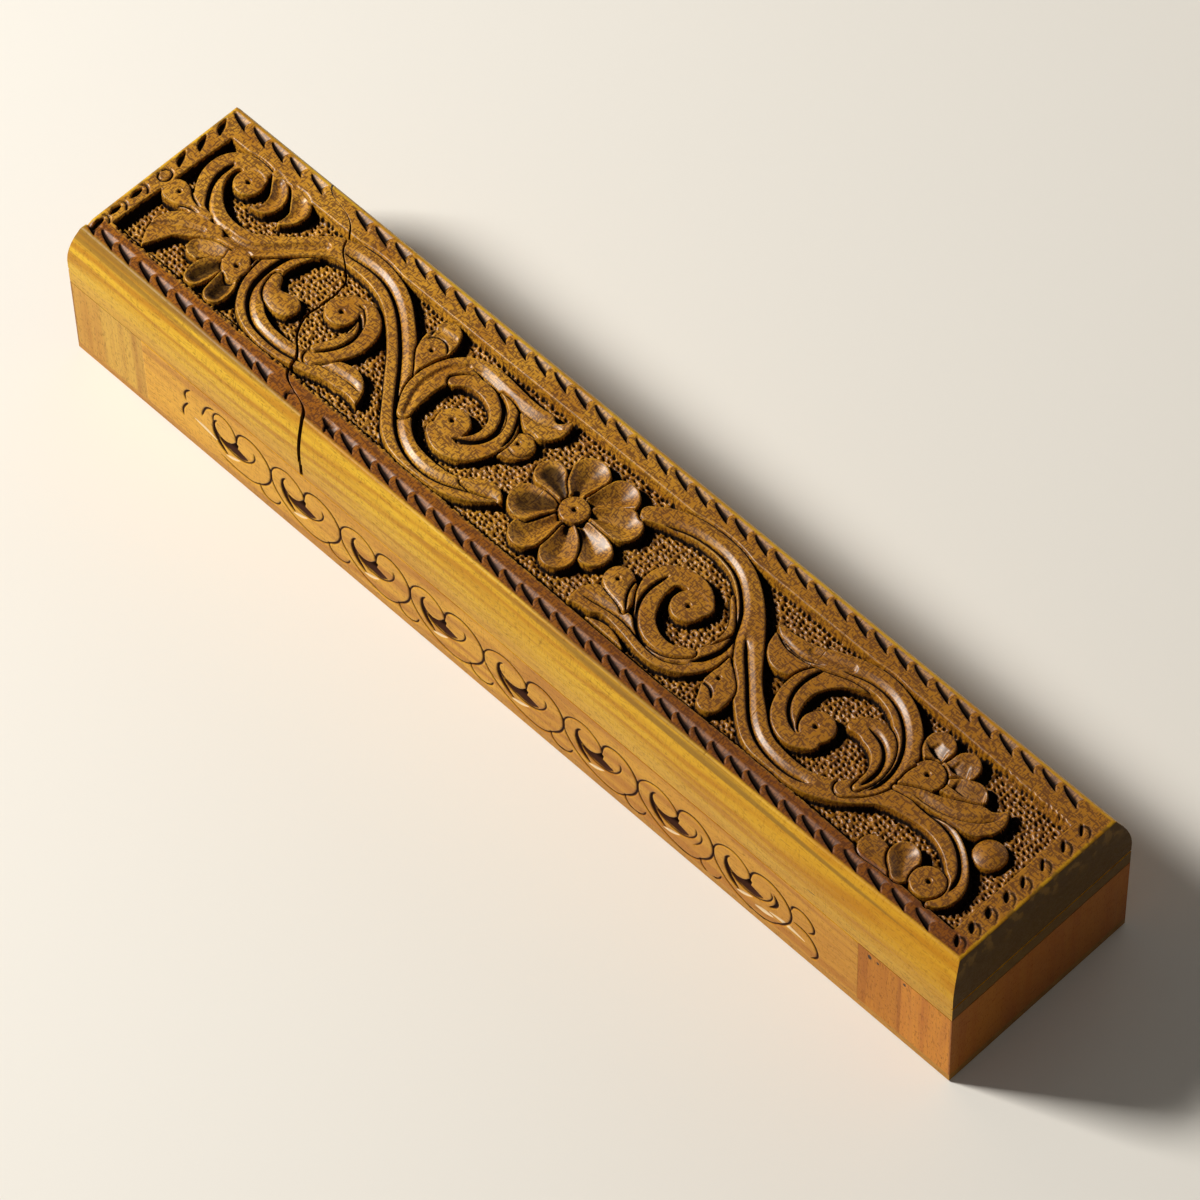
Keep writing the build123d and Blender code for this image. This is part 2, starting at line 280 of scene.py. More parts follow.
class Carving:
    """The face of a board seen straight on: the height of its surface, in millimetres, and how dark it
    is, a stain and in places painted shade, at every cell of a fine net. Each tool stroke changes the cells
    around its line."""

    def __init__(self, left, right, low, high, ground):
        self.across = np.arange(left, right + net_pitch, net_pitch)
        self.upward = np.arange(low, high + net_pitch, net_pitch)
        self.height = np.zeros((len(self.upward), len(self.across)))
        self.dye_and_shade = np.zeros_like(self.height)
        self.ground = ground

    def window(self, left, right, low, high):
        """The rows and columns of the net inside a rectangle."""
        first_column, last_column = np.searchsorted(self.across, (left, right))
        first_row, last_row = np.searchsorted(self.upward, (low, high))
        return slice(first_row, last_row), slice(first_column, last_column)

    def near(self, line, reach):
        """For the cells within reach of a line: the distance to it, positive on its left hand,
        its half-width there, and how far along it they lie, in millimetres."""
        x, y, half = line[:, 0], line[:, 1], line[:, 2]
        rows, columns = self.window(x.min() - reach, x.max() + reach, y.min() - reach, y.max() + reach)
        shape = (rows.stop - rows.start, columns.stop - columns.start)
        nearest = np.full(shape, np.inf)
        side, width, run = np.ones(shape), np.ones(shape), np.zeros(shape)
        gone = np.r_[0, np.cumsum(np.hypot(np.diff(x), np.diff(y)))]
        for k in range(len(x) - 1):
            ends_x, ends_y = sorted(x[k:k + 2]), sorted(y[k:k + 2])
            near_rows, near_columns = self.window(
                ends_x[0] - reach, ends_x[1] + reach, ends_y[0] - reach, ends_y[1] + reach)
            here = (slice(near_rows.start - rows.start, near_rows.stop - rows.start),
                    slice(near_columns.start - columns.start, near_columns.stop - columns.start))
            away_x = self.across[None, near_columns] - x[k]
            away_y = self.upward[near_rows, None] - y[k]
            step_x, step_y = x[k + 1] - x[k], y[k + 1] - y[k]
            length = max(step_x**2 + step_y**2, 1e-9)
            share = np.clip((away_x * step_x + away_y * step_y) / length, 0, 1)
            square = (away_x - share * step_x) ** 2 + (away_y - share * step_y) ** 2
            closer = square < nearest[here]
            nearest[here] = np.where(closer, square, nearest[here])
            side[here] = np.where(closer, np.sign(step_x * away_y - step_y * away_x), side[here])
            width[here] = np.where(closer, half[k] + share * (half[k + 1] - half[k]), width[here])
            run[here] = np.where(closer, gone[k] + share * math.sqrt(length), run[here])
        return (rows, columns), np.sqrt(nearest) * side, width, run, gone[-1]

    def groove(self, points, depth, width=0.45, left=0.0, right=0.0, fade=2.5):
        """A V cut along a line, width from its edge to its bottom, running out at both ends. Where
        left or right is given, a gentle facet that wide slopes down to the cut from that hand."""
        line = smooth_line([point + (1.0,) for point in points])
        here, off, _, run, length = self.near(line, max(left, right, width) + 0.1)
        strength = np.clip(np.minimum(run, length - run) / fade + 0.25, 0, 1) ** 0.7
        notch = np.clip(1 - np.abs(off) / (width * (0.4 + 0.6 * strength)), 0, 1)
        facet = facet_slope * np.clip(np.where(off > 0, left, right) - np.abs(off), 0, None)
        self.lower(here, strength * (depth * notch + facet))
        self.dye_and_shade[here] = np.maximum(self.dye_and_shade[here], min(depth, 1) * ease(2.2 * notch) * strength)

    def scoop(self, points, depth, dye_and_shade=0.0, roundness=2.0):
        """A hollow along a line, deepest on the line itself: across it an arc where roundness is
        2, and nearer a V below that. The darkening given after depth is what it keeps beyond its
        neighbours' share: a stain, and in some petals painted shade."""
        line = smooth_line(points)
        here, off, width, _, _ = self.near(line, line[:, 2].max() + 0.1)
        bowl = np.clip(1 - np.abs(off / width) ** roundness, 0, 1)
        self.lower(here, depth * bowl)
        self.dye_and_shade[here] = np.maximum(self.dye_and_shade[here], dye_and_shade * ease(1.6 * bowl))

    def lower(self, here, cut):
        """Takes wood away, but not from the ground nor below it."""
        height = self.height[here]
        standing = height > self.ground + standing_above
        self.height[here] = np.where(standing, np.maximum(height - cut, self.ground - deepest_below), height)

    def ribbon(self, points, top=0.0, crown=0.06, trench=1.1):
        """Wood left standing along a line: nearly flat across, with steep edges. Where it lies over
        other forms a fine V cut, trench deep, runs round it, and its foot is cut a little below
        the ground."""
        line = smooth_line(points)
        here, off, width, _, _ = self.near(line, line[:, 2].max() + 0.9)
        inside = width - np.abs(off)
        height = self.height[here]
        cut = trench * np.clip(1 - np.abs(inside + outline_place) / outline_half, 0, 1)
        foot = foot_depth * ease(1 - np.abs(inside + foot_place) / foot_half)
        standing = height > self.ground + standing_above
        height = np.where(standing, np.maximum(height - cut, self.ground), height - foot)
        body = top - crown * np.clip(off / width, -1, 1) ** 2
        wall = ease(inside / wall_width + 0.5)
        self.height[here] = height * (1 - wall) + body * wall
        self.dye_and_shade[here] *= 1 - wall

    def disc(self, x, y, radius, top=-0.1, crown=0.1, trench=1.1, eye=(0.0, 0.0)):
        """A round button with a punched eye."""
        self.ribbon([(x, y, radius), (x + 0.05, y, radius)], top, crown, trench)
        if eye:
            self.pit(x + eye[0], y + eye[1], 0.55, 1.1)

    def pit(self, x, y, radius, depth, stretch=1.0, slant=0.0):
        """A hole from a punch, with a rounded bottom: stretch times as long as it is wide, and
        leaning by slant."""
        reach = radius * stretch
        rows, columns = self.window(x - reach, x + reach, y - reach, y + reach)
        along = self.across[None, columns] - x
        aside = self.upward[rows, None] - y + slant * along
        square = (along / stretch) ** 2 + aside**2
        self.height[rows, columns] -= depth * np.clip(1 - square / radius**2, 0, 1) ** 0.7

    def softened(self):
        """Wears every sharp edge: each cell becomes the mean of itself and its neighbours, with
        weights 1, 2, 1."""
        for axis in (0, 1):
            wider = widened(self.height, axis, 1, 1)
            first = np.take(wider, range(0, wider.shape[axis] - 2), axis)
            last = np.take(wider, range(2, wider.shape[axis]), axis)
            self.height = (first + 2 * self.height + last) / 4

    def hollowness(self, reach):
        """How far each cell lies below the mean of the square around it, twice over: dark stain
        stays in such places, and crests, where this is negative, are rubbed pale."""
        mean = self.height
        cells = int(reach / net_pitch)
        for axis in (0, 1, 0, 1):
            total = np.cumsum(widened(mean, axis, cells + 1, cells), axis)
            first = np.take(total, range(0, mean.shape[axis]), axis)
            last = np.take(total, range(2 * cells + 1, mean.shape[axis] + 2 * cells + 1), axis)
            mean = (last - first) / (2 * cells + 1)
        return mean - self.height

    def read(self, net, x, y):
        """A net's value at any place, by bilinear interpolation."""
        column = np.clip((x - self.across[0]) / net_pitch, 0, len(self.across) - 1.001)
        row = np.clip((y - self.upward[0]) / net_pitch, 0, len(self.upward) - 1.001)
        i, j = row.astype(int), column.astype(int)
        up, on = row - i, column - j
        lower = net[i, j] * (1 - on) + net[i, j + 1] * on
        upper = net[i + 1, j] * (1 - on) + net[i + 1, j + 1] * on
        return lower * (1 - up) + upper * up


def once_round(grid):
    """The border of a grid, starting along its first side."""
    return np.concatenate([grid[:-1, 0], grid[-1, :-1], grid[:0:-1, -1], grid[0, :0:-1]])


def block_mesh(name, rings, top, stain, material):
    """A closed block under a carved face. top is a grid of points (columns, rows, 3), its columns
    along the first side; rings are loops of points round it, each matching the grid's border, from
    the face down to the far side, which one flat face closes. Only the carved face is smooth."""
    columns, rows = top.shape[:2]
    number = np.arange(columns * rows).reshape(columns, rows)
    faces = np.stack([number[:-1, :-1], number[1:, :-1], number[1:, 1:], number[:-1, 1:]], -1).reshape(-1, 4)
    above = once_round(number)
    walls = []
    for k in range(len(rings)):
        below = number.size + k * len(above) + np.arange(len(above))
        walls.append(np.stack([above, below, np.roll(below, -1), np.roll(above, -1)], -1))
        above = below
    walls = np.concatenate(walls)
    points = np.concatenate([top.reshape(-1, 3), *rings]) * mm
    mesh = bpy.data.meshes.new(name)
    mesh.from_pydata(points.tolist(), [], faces.tolist() + walls.tolist() + [above[::-1].tolist()])
    mesh.polygons.foreach_set("use_smooth", np.arange(len(mesh.polygons)) < len(faces))
    stains = np.zeros(len(points), np.float32)
    stains[:number.size] = stain.reshape(-1)
    mesh.attributes.new("stain", "FLOAT", "POINT").data.foreach_set("value", stains)
    mesh.materials.append(material)
    piece = bpy.data.objects.new(name, mesh)
    bpy.context.scene.collection.objects.link(piece)
    return piece


side_low, side_high = (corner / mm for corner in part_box("front_side_board"))
scorched = Carving(side_low.x, side_high.x, side_low.z, side_high.z, ground=-5.0)
heart_cusps = (-69.7, -51.3, -31.9, -13.6, 7.9, 27.5, 46.9, 65.3)
heart_joins = (-79.2, -60.3, -41.5, -22.8, -3.3, 17.6, 36.7, 56.0, 75.7)
left_reach, right_reach, first_rise = 9.6, 10.3, 1.3
fine, bold = (0.35, 0.24), (0.4, 0.32)
left_lobe = [(0, 11.8), (-0.2, 13.4), (-1.7, 15.3), (-4.2, 16.4), (-6.4, 16), (-8.6, 14.2), (-9.6, 11.6),
             (-9.2, 9), (-7.7, 6.6), (-5.6, 4.6), (-3, 3.2), (0.4, 2.3), (3.6, 2.4), (6, 3.6), (7.2, 4.9)]
first_left_lobe = [(0, 11.8), (-0.2, 13.8), (-1.4, 15.9), (-3.6, 16.8), (-5.4, 16), (-6.3, 14.2),
                   (-6.4, 12.4)]
first_foot = [(-5, 3.5), (-2, 2.8), (1.5, 2.7), (4.4, 3.1), (7.2, 4.9)]
inner_loop = [(0, 12), (-0.5, 10.9), (-1.8, 9.6), (-3.6, 9.1), (-5.2, 9.8), (-6.1, 11.3), (-6.1, 12.7),
              (-5.2, 14)]
right_lobe = [(0, 11.8), (0.25, 13.6), (1.1, 15.2), (2.9, 16.3), (5, 16.5), (7.4, 15.6), (9.2, 13.9),
              (10.2, 11.6), (10.2, 9.6), (9.4, 7.3), (7.9, 5.4), (6.8, 4.4)]
lower_arc = [(-6.2, 11), (-5, 8.8), (-3.2, 7.5), (-1, 7), (1.4, 7.3), (3.4, 8.4), (5, 10.2), (5.5, 12),
             (5.2, 13.2)]
left_wedge = [(-6.3, 12.4, 0.2), (-6.3, 9.9, 0.45), (-5.4, 7.8, 0.65), (-4.1, 6.2, 0.6), (-2.9, 5.2, 0.2)]
middle_wedge = [(-4.8, 8.8, 0.2), (-2.8, 8.5, 0.9), (-0.6, 8.7, 1.4), (1.2, 8.7, 1.2), (3, 9, 0.3)]
upper_wedge = [(-0.9, 9.2, 0.9), (0.1, 11.2, 0.4)]
last_wedge = [(6.1, 13, 0.15), (6.7, 11.5, 0.45), (6.4, 9.8, 0.45), (5, 8, 0.15)]
cup = [(6.4, 4.7), (7, 3.0), (8.5, 1.9), (10.3, 1.9), (11.9, 2.8), (12.6, 4.3)]
echo_arc = [(6.8, 12.8), (7, 11), (6.2, 9), (4.6, 7.2)]
# Painted highlights: pale glints below the strokes, as lines of centres and half-widths.
heart_glint = [(-3.4, 4.7, 0.2), (-2.1, 5.1, 0.6), (-0.6, 5.8, 0.5), (0.5, 6.4, 0.15)]
last_heart_glint = [(1.4, 4.6, 0.3), (3.6, 5.0, 0.9), (5.6, 5.4, 0.3)]
glint_marks = [[(-81.5, 9.6, 0.2), (-78.6, 9.2, 0.7), (-75.6, 8.4, 0.2)],
         [(70.2, 6.2, 0.2), (74.5, 6.7, 0.8), (79, 6.2, 0.2)]]


def drawn(points, heart):
    """A heart's stroke at its place: cusp along the board and rise above the others, each half of
    the heart drawn out to its own width."""
    cusp, rise, left, right = heart
    return [(cusp + x * (left if x < 0 else right), rise + z, *half) for x, z, *half in points]


for cusp, left_join, right_join in zip(heart_cusps, heart_joins, heart_joins[1:]):
    rise = first_rise * (heart_cusps[-1] - cusp) / (heart_cusps[-1] - heart_cusps[0])
    heart = (cusp, rise, (cusp - left_join) / left_reach, (right_join - cusp) / right_reach)
    if cusp == heart_cusps[0]:
        scorched.groove(drawn(first_foot, heart), *fine, fade=2)
        scorched.groove(drawn(first_left_lobe, heart), *fine, fade=1.5)
    else:
        scorched.groove(drawn(left_lobe, heart), *fine, fade=1.5)
    scorched.groove(drawn(inner_loop, heart), *bold, fade=1.5)
    scorched.groove(drawn(right_lobe, heart), *bold, fade=1.5)
    scorched.groove(drawn(lower_arc, heart), *fine, fade=1.5)
    scorched.scoop(drawn(left_wedge, heart), 0.6)
    scorched.scoop(drawn(middle_wedge, heart), 1.0)
    scorched.scoop(drawn(upper_wedge, heart), 0.8)
    glint_marks.append(drawn(heart_glint, heart))
    if cusp < heart_cusps[-1]:
        scorched.groove(drawn(cup, heart), *fine, fade=1)
    else:
        scorched.scoop(drawn(last_wedge, heart), 0.5)
        glint_marks.append(drawn(last_heart_glint, heart))
    if cusp == heart_cusps[-2]:
        scorched.groove(drawn(echo_arc, heart), 0.3, fine[1], fade=2)
side_ends = [
    [(-82, 18), (-83.3, 16.5), (-83.8, 15), (-83.5, 13.5)],
    [(-83, 13), (-84.2, 11), (-84.8, 9), (-84.7, 7.5)],
    [(-75.5, 18), (-77.3, 17), (-78.5, 15), (-79.2, 12.8)],
    [(75.6, 13), (76, 14.5), (77.3, 15.4), (78.8, 15.4), (80.5, 14.3), (81.3, 12.8), (81, 11), (80, 10.2)],
    [(76.3, 9.8), (79, 9.6), (80.8, 8.5), (82, 6.5), (82.3, 5), (81.8, 3.5), (80.7, 2.5)],
]
for stroke in side_ends:
    scorched.groove(stroke, *bold, fade=1.5)
scorched.softened()
burnt_depth, glint_hollow_depth, glint_paleness = 0.2, 0.12, 0.8
burnt = np.clip(-scorched.height / burnt_depth, 0, 1)
# Painted highlights: each glint mark is painted pale in a shallow hollow, where the burnt colour is faint.
for glint_mark in glint_marks:
    line = smooth_line(glint_mark)
    here, off, width, _, _ = scorched.near(line, line[:, 2].max() + 0.1)
    burnt[here] -= glint_paleness * ease(1.6 * (1 - np.abs(off) / width)) * (burnt[here] < 0.2)
    scorched.scoop(glint_mark, glint_hollow_depth)


def scorched_finish(place, colour, shine, height):
    """Dark brown where the tool went; the deeper the cut, the darker. Below 0 the colour is a pale
    bare wood: a painted highlight."""
    stain = place.node("ShaderNodeAttribute", {"attribute_name": "stain"}, {}, output="Fac")
    glint_pale, soot = rgb(0.78, 0.6, 0.36), rgb(0.035, 0.008, 0.001)
    colour = (-1 * stain).between(0.1, 0.8).mix(colour, glint_pale)
    dark = stain.between(0.0, 0.9)
    return dark.mix(colour, soot), shine + dark * 0.3, height, 1 - dark


side_wood = varnished("side wood", (0.69, 0.355, 0.018), (0.44, 0.17, 0.004), ring_place=(0, -60, 70),
                      ring_pitch=4.2, ring_strength=0.7, lean=0.06, right_end_tone_and_shade=0.3, finish=scorched_finish)
side_step = 0.155


def side_length(name, left, right):
    """One length of the front board: a grid over its face, displaced inwards by the cuts."""
    columns = int((right - left) / side_step)
    rows = int((side_high.z - side_low.z) / side_step)
    along, up = np.linspace(left, right, columns), np.linspace(side_low.z, side_high.z, rows)
    x, z = np.meshgrid(along, up, indexing="ij")
    at_edge = (z <= side_low.z) | (z >= side_high.z) | (x <= left) | (x >= right)
    cut = np.where(at_edge, 0, scorched.read(scorched.height, x, z))
    face = np.stack([x, side_low.y - cut, z], -1)
    back = once_round(face)
    back[:, 1] = side_high.y
    piece = block_mesh(name, [back], face, scorched.read(burnt, x, z), side_wood)
    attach(piece, "box_body")
    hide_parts("front_side_board")


side_middle = (heart_cusps[3] + heart_cusps[4]) / 2
side_length("front_side_left_length", side_low.x, side_middle)
side_length("front_side_right_length", side_middle, side_high.x)

# The back side is the same board left plain. The end blocks and the boards glued over them have
# upright grain; a few pin knots show near the top of the right-hand block.
back_wood = varnished("back side wood", (0.62, 0.29, 0.015), (0.43, 0.155, 0.004), ring_place=(0, 70, 66),
                      ring_pitch=3.1, ring_strength=0.3)
dressed("back_side_board", back_wood)
left_block_wood = varnished("left block wood", (0.63, 0.36, 0.032), (0.40, 0.17, 0.008), grain="z",
                            ring_place=(-80, -50, 0), ring_pitch=2.3, ring_strength=0.35)
dressed("left_end_block", left_block_wood)
right_block_wood = varnished("right block wood", (0.53, 0.19, 0.001), (0.33, 0.09, 0.001), grain="z",
                             ring_place=(82, -52, 0), ring_pitch=2.1, ring_strength=0.45, coat=0.02,
                             spots=((95.0, 19.7, 0.5, 0.75), (97.0, 19.8, 0.35, 0.4),
                                    (103.5, 20.1, 0.4, 0.45)))
dressed("right_end_block", right_block_wood)


def end_stain_and_shade(place, colour, shine, height):
    """The outer face is redder, a stain, and darker, painted shade, in the outermost half millimetre."""
    outer = place.math("ABSOLUTE", place.part(0)).between(0.1144, 0.1149)
    return (outer * 0.6).mix(colour, rgb(0.13, 0.022, 0.001)), shine, height, 1 - outer * 0.5


end_board_wood = varnished("end board wood", (0.63, 0.235, 0.002), (0.46, 0.135, 0.001), grain="z",
                           ring_place=(140, 10, 0), ring_pitch=3.0, ring_strength=0.3, finish=end_stain_and_shade,
                           spots=((103.5, 20.1, 0.4, 0.45),))
dressed("right_end_board", end_board_wood)
left_board_wood = varnished("left end board wood", (0.60, 0.31, 0.025), (0.44, 0.18, 0.006), grain="z",
                            ring_place=(-140, 10, 0), ring_pitch=2.7, ring_strength=0.3, finish=end_stain_and_shade)
dressed("left_end_board", left_board_wood)

# Inside, two ledge strips are glued along the sides, and under each lid half two runners whose
# lips slide below the ledges. They are planed and left bare, so they are paler and duller.
bare_wood = varnished("bare inner wood", (0.62, 0.44, 0.22), (0.50, 0.32, 0.14), ring_place=(0, 0, 60),
                      ring_pitch=2.6, ring_strength=0.25, roughness=0.55, coat=0.0)
for strip in ("front_ledge", "back_ledge", "short_front_runner", "short_back_runner", "long_front_runner",
              "long_back_runner"):
    dressed(strip, bare_wood)

# A thin lath is glued under each half of the lid and sawn through with it. A slit-shaped knot
# shows on its front edge.
lath_wood = varnished("lath wood", (0.64, 0.36, 0.022), (0.43, 0.18, 0.006), ring_place=(0, 30, 60),
                      ring_pitch=2.0, ring_strength=0.3, end_shade=0.9, spots=((80.5, 25.0, 1.1, 0.28),))
dressed("short_lid_lath", lath_wood)
dressed("long_lid_lath", lath_wood)

# The lid is one thick plank, carved in relief, stained and varnished, then sawn in two along a
# wavy line. Its sides lean in to a worn arris. The carving leaves a border with gouge cuts and
# sinks the field to a punched ground, from which the scrolls, leaves and flowers stand up.
plank_low, plank_high = (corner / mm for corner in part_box("long_lid_plank"))
half_length, half_width = plank_high.x, plank_high.y
field_right, field_depth, field_wall, field_back_wall = 108.4, 2.0, 0.3, 1.1
hewn_unevenness, punch_rows_apart, punches_apart = 0.12, 1.0, 1.25
field_front_line = [(-110, -15), (-37, -15.1), (0, -15.5), (35, -16), (62, -15.3), (80, -15.7), (108, -16.2)]
field_back_line = [(-110, 14.6), (0, 14.9), (75, 14.8), (108, 13.9)]
lid = Carving(-116, 116, -24, 24, ground=-field_depth)
chance = np.random.default_rng(7)

field_front = np.interp(lid.across, *zip(*field_front_line))[None, :]
field_back = np.interp(lid.across, *zip(*field_back_line))[None, :]
field_left = (-109.4 + 0.05 * lid.upward)[:, None]
behind_front = lid.upward[:, None] - field_front
before_back = field_back - lid.upward[:, None]
inside_field = np.minimum(np.minimum(lid.across[None, :] - field_left, field_right - lid.across[None, :]),
                          np.minimum(behind_front, before_back))
lid.height -= field_depth * ease(inside_field / field_wall) * ease(before_back / field_back_wall)
unevenness = chance.normal(0, 1, lid.height.shape)
for shift in (1, 2, 4, 8):
    unevenness = unevenness + np.roll(unevenness, shift, 0)
    unevenness = unevenness + np.roll(unevenness, shift, 1)
lid.height += hewn_unevenness * unevenness / unevenness.std() * (inside_field > 0.4)
for y in np.arange(-15.2, 14.4, punch_rows_apart):
    for x in np.arange(-108.6 + 0.6 * chance.random(), 107.8, punches_apart):
        lid.pit(x + chance.uniform(-0.25, 0.25), y + chance.uniform(-0.2, 0.2),
                chance.uniform(0.3, 0.4), chance.uniform(0.45, 0.9), stretch=1.5,
                slant=chance.uniform(0, 0.5))

# First ring, and the long stem that starts in the left curl, passes over the ring and runs down
# to the flower in the middle.
lid.ribbon([(-78, 7.2, 1.6), (-80.6, 3.6, 2.6), (-81.7, 0, 3), (-81.5, -4, 2.9), (-79.6, -8.2, 2.8),
            (-76, -11.2, 2.6), (-71, -12.6, 2.4), (-65.5, -12.4, 2.3), (-60.5, -11.2, 2.4),
            (-56, -9.6, 2.6), (-52.5, -9, 2.9), (-49.5, -10.2, 1.7), (-47.4, -12, 0.1)], top=-0.15)
lid.groove([(-84.2, 0.6), (-84, -3), (-83.3, -6.5), (-81.5, -10), (-79.8, -12)], 0.9, 0.32)
lid.groove([(-80.4, 4.2), (-81.2, 1), (-81.4, -3), (-80.6, -7), (-78.3, -10.2), (-75, -12.3), (-70.5, -13.1),
            (-65, -12.9), (-61.5, -12)], 1.1, 0.55, left=1.5)
lid.groove([(-80.3, -1), (-79.2, -3.2), (-77.3, -4.6), (-75, -5.1)], 0.8, 0.32)
lid.groove([(-59, -10.3), (-55, -9.5), (-51.5, -9.2), (-49, -9.4)], 0.8, 0.3, left=1.4)
lid.ribbon([(-79, -2, 1.2), (-77.5, -4.6, 1.8), (-74.5, -5.3, 2.6), (-73.2, -5, 2.7)], top=-0.2, crown=0.5)
lid.ribbon([(-65.5, 4.4, 1), (-62, 5, 1.4), (-58.6, 3.2, 1.8), (-57, -0.4, 1.9), (-57.4, -4.2, 1.8),
            (-59.6, -8, 1.6), (-61, -10, 1.6)], top=-0.3)
lid.ribbon([(-62.5, 3.6, 0.7), (-60.4, 1.6, 0.8), (-59.8, -1.2, 0.9), (-60.4, -4.4, 1), (-62.4, -8, 0.9)],
           top=-0.5)
lid.groove([(-63.5, 3), (-61, 2.3), (-59.1, 0.3), (-58.5, -2.4), (-59.4, -5.6), (-61.6, -8.8)], 1.3, 0.5)
lid.groove([(-63.4, 2.9), (-61.5, 2), (-60.4, 0.4), (-60.3, -1.2), (-61, -2.2)], 0.6, 0.3, fade=1.5)
lid.disc(-64.8, 1.2, 3.4, top=-0.25, trench=0, eye=(0.2, -0.2))
lid.ribbon([(-98, 13.3, 1.1), (-101.6, 12.9, 1.6), (-104.4, 10.9, 2.2), (-105.1, 7.8, 2.5), (-103.7, 4, 2.7),
            (-100.6, 0.9, 2.8), (-96.4, -1.2, 2.9), (-92.2, -1.6, 3), (-88.2, -0.5, 2.8), (-84.2, 2.7, 2.5),
            (-80.2, 6.7, 2.3), (-76, 10.4, 2.6), (-71, 11.7, 2.8), (-66, 11.7, 2.9), (-60, 10.2, 2.9),
            (-54.6, 6.6, 2.8), (-50.5, 3, 2.85), (-46, -1.9, 2.9), (-42, -6.4, 2.9), (-38.8, -9.8, 2.9),
            (-35, -12, 2.7), (-29, -12.8, 2.3), (-23.5, -12.5, 2.3), (-19, -11, 2.2), (-15.6, -9.4, 1.5),
            (-12.4, -8.2, 0.05)])
lid.ribbon([(-21, -9.6, 0.8), (-18, -8.4, 1.6), (-15.6, -7.6, 1.6), (-13.4, -8, 0.6)], top=-0.2)
lid.groove([(-103.9, 10.6), (-104.2, 8), (-103.7, 5), (-102, 2), (-99.6, -0.5), (-96.8, -1.8),
            (-92.5, -1.6)], 1.1, 0.55, left=1.2)
lid.scoop([(-93, -1.9, 1.1), (-88.5, -1.2, 1.1), (-84.3, 2, 1.1), (-80.3, 6.2, 1.1), (-77.3, 9, 1.1)], 0.8,
          dye_and_shade=0.3)
lid.groove([(-73.5, 10.7), (-70, 11.2), (-65, 11.3), (-61, 10.2), (-57, 8), (-53, 4.8), (-49, 1),
            (-45, -3.5), (-41, -8), (-37.5, -11), (-33, -13.1), (-28, -13.7), (-23.5, -12.9),
            (-18.5, -10.6), (-13.8, -8.6)], 1.1, 0.52, left=1.7)

# Left end: the curl round its button, two lobes, a bud and a leaf, and a flower cut by the border.
lid.ribbon([(-103, 12.2, 1.9), (-100.3, 12.4, 1.9), (-97.8, 11.4, 1.6)], trench=0)
lid.disc(-98.8, 9.4, 3.1, trench=0, eye=(-0.1, 0))
lid.ribbon([(-96.6, 14.4, 0.8), (-94.4, 13.2, 1.6), (-92.3, 10.9, 1.8), (-91.8, 8.6, 1.7), (-92.8, 6.8, 1.2),
            (-94.2, 5.9, 0.5)], top=-0.1, trench=0)
lid.scoop([(-94.5, 13.2, 1.1), (-92.4, 11, 1.5), (-92, 8.6, 1.4), (-93.2, 6.9, 0.8)], 0.7)
lid.ribbon([(-91.4, 14.4, 0.8), (-88.6, 13.2, 2.0), (-86.8, 10.9, 1.9), (-86.9, 8.7, 1.3), (-87.7, 6.8, 0.5)],
           top=-0.15, trench=0)
lid.scoop([(-88.4, 12.8, 1.5), (-87, 11, 1.5), (-87, 8.8, 1.0)], 0.6)
lid.ribbon([(-107.2, -1.5, 2.8), (-104.5, -1.6, 2.2), (-101.5, -1.6, 1.6), (-98.5, -1.8, 1.2)], trench=0)
lid.pit(-106.5, -1.2, 0.5, 0.9)
lid.groove([(-106, 1.4), (-103.5, -0.4), (-101, -1.1)], 0.9, 0.32)
lid.groove([(-105, -4.2), (-103, -2.8), (-100.3, -2.3)], 0.9, 0.32, left=0.6)
lid.ribbon([(-95, -3.4, 2), (-99, -4.9, 2.7), (-102.2, -7.4, 2.9), (-102.8, -10.6, 2.2),
            (-102.6, -14.4, 0.3)], top=-0.1, trench=0)
lid.scoop([(-96.6, -4.4, 0.7), (-100.5, -6.2, 0.8), (-104.3, -9.4, 0.8)], 0.5, dye_and_shade=0.3)


def petal(*points, hollow=1.5, dye_and_shade=0.3):
    """A petal with a raised rim: a ribbon of the given centres and half-widths, hollowed like a
    boat, with two slopes that meet along its middle."""
    lid.ribbon(list(points), crown=0.0)
    inner = [(x, y, max(half - 0.4, 0.3)) for x, y, half in points]
    lid.scoop(inner, hollow, dye_and_shade, roundness=1.25)


petal((-89.6, -5.9, 2.2), (-92.6, -7.2, 2.8), (-94.4, -7.8, 2.3), hollow=0.9, dye_and_shade=0.25)
petal((-88.8, -7.6, 1.8), (-89.9, -10.6, 2.6), (-90.1, -12.4, 2.3), dye_and_shade=0.6)
petal((-85.8, -7.8, 1.8), (-84.7, -10.6, 2.5), (-84.5, -12.6, 2.4), dye_and_shade=0.6)
lid.ribbon([(-85, -7.6, 1.5), (-86.4, -5.6, 2.8), (-87, -4.6, 2.6)], top=-0.1, trench=0.4)
lid.pit(-86.2, -5.5, 0.55, 1.1)

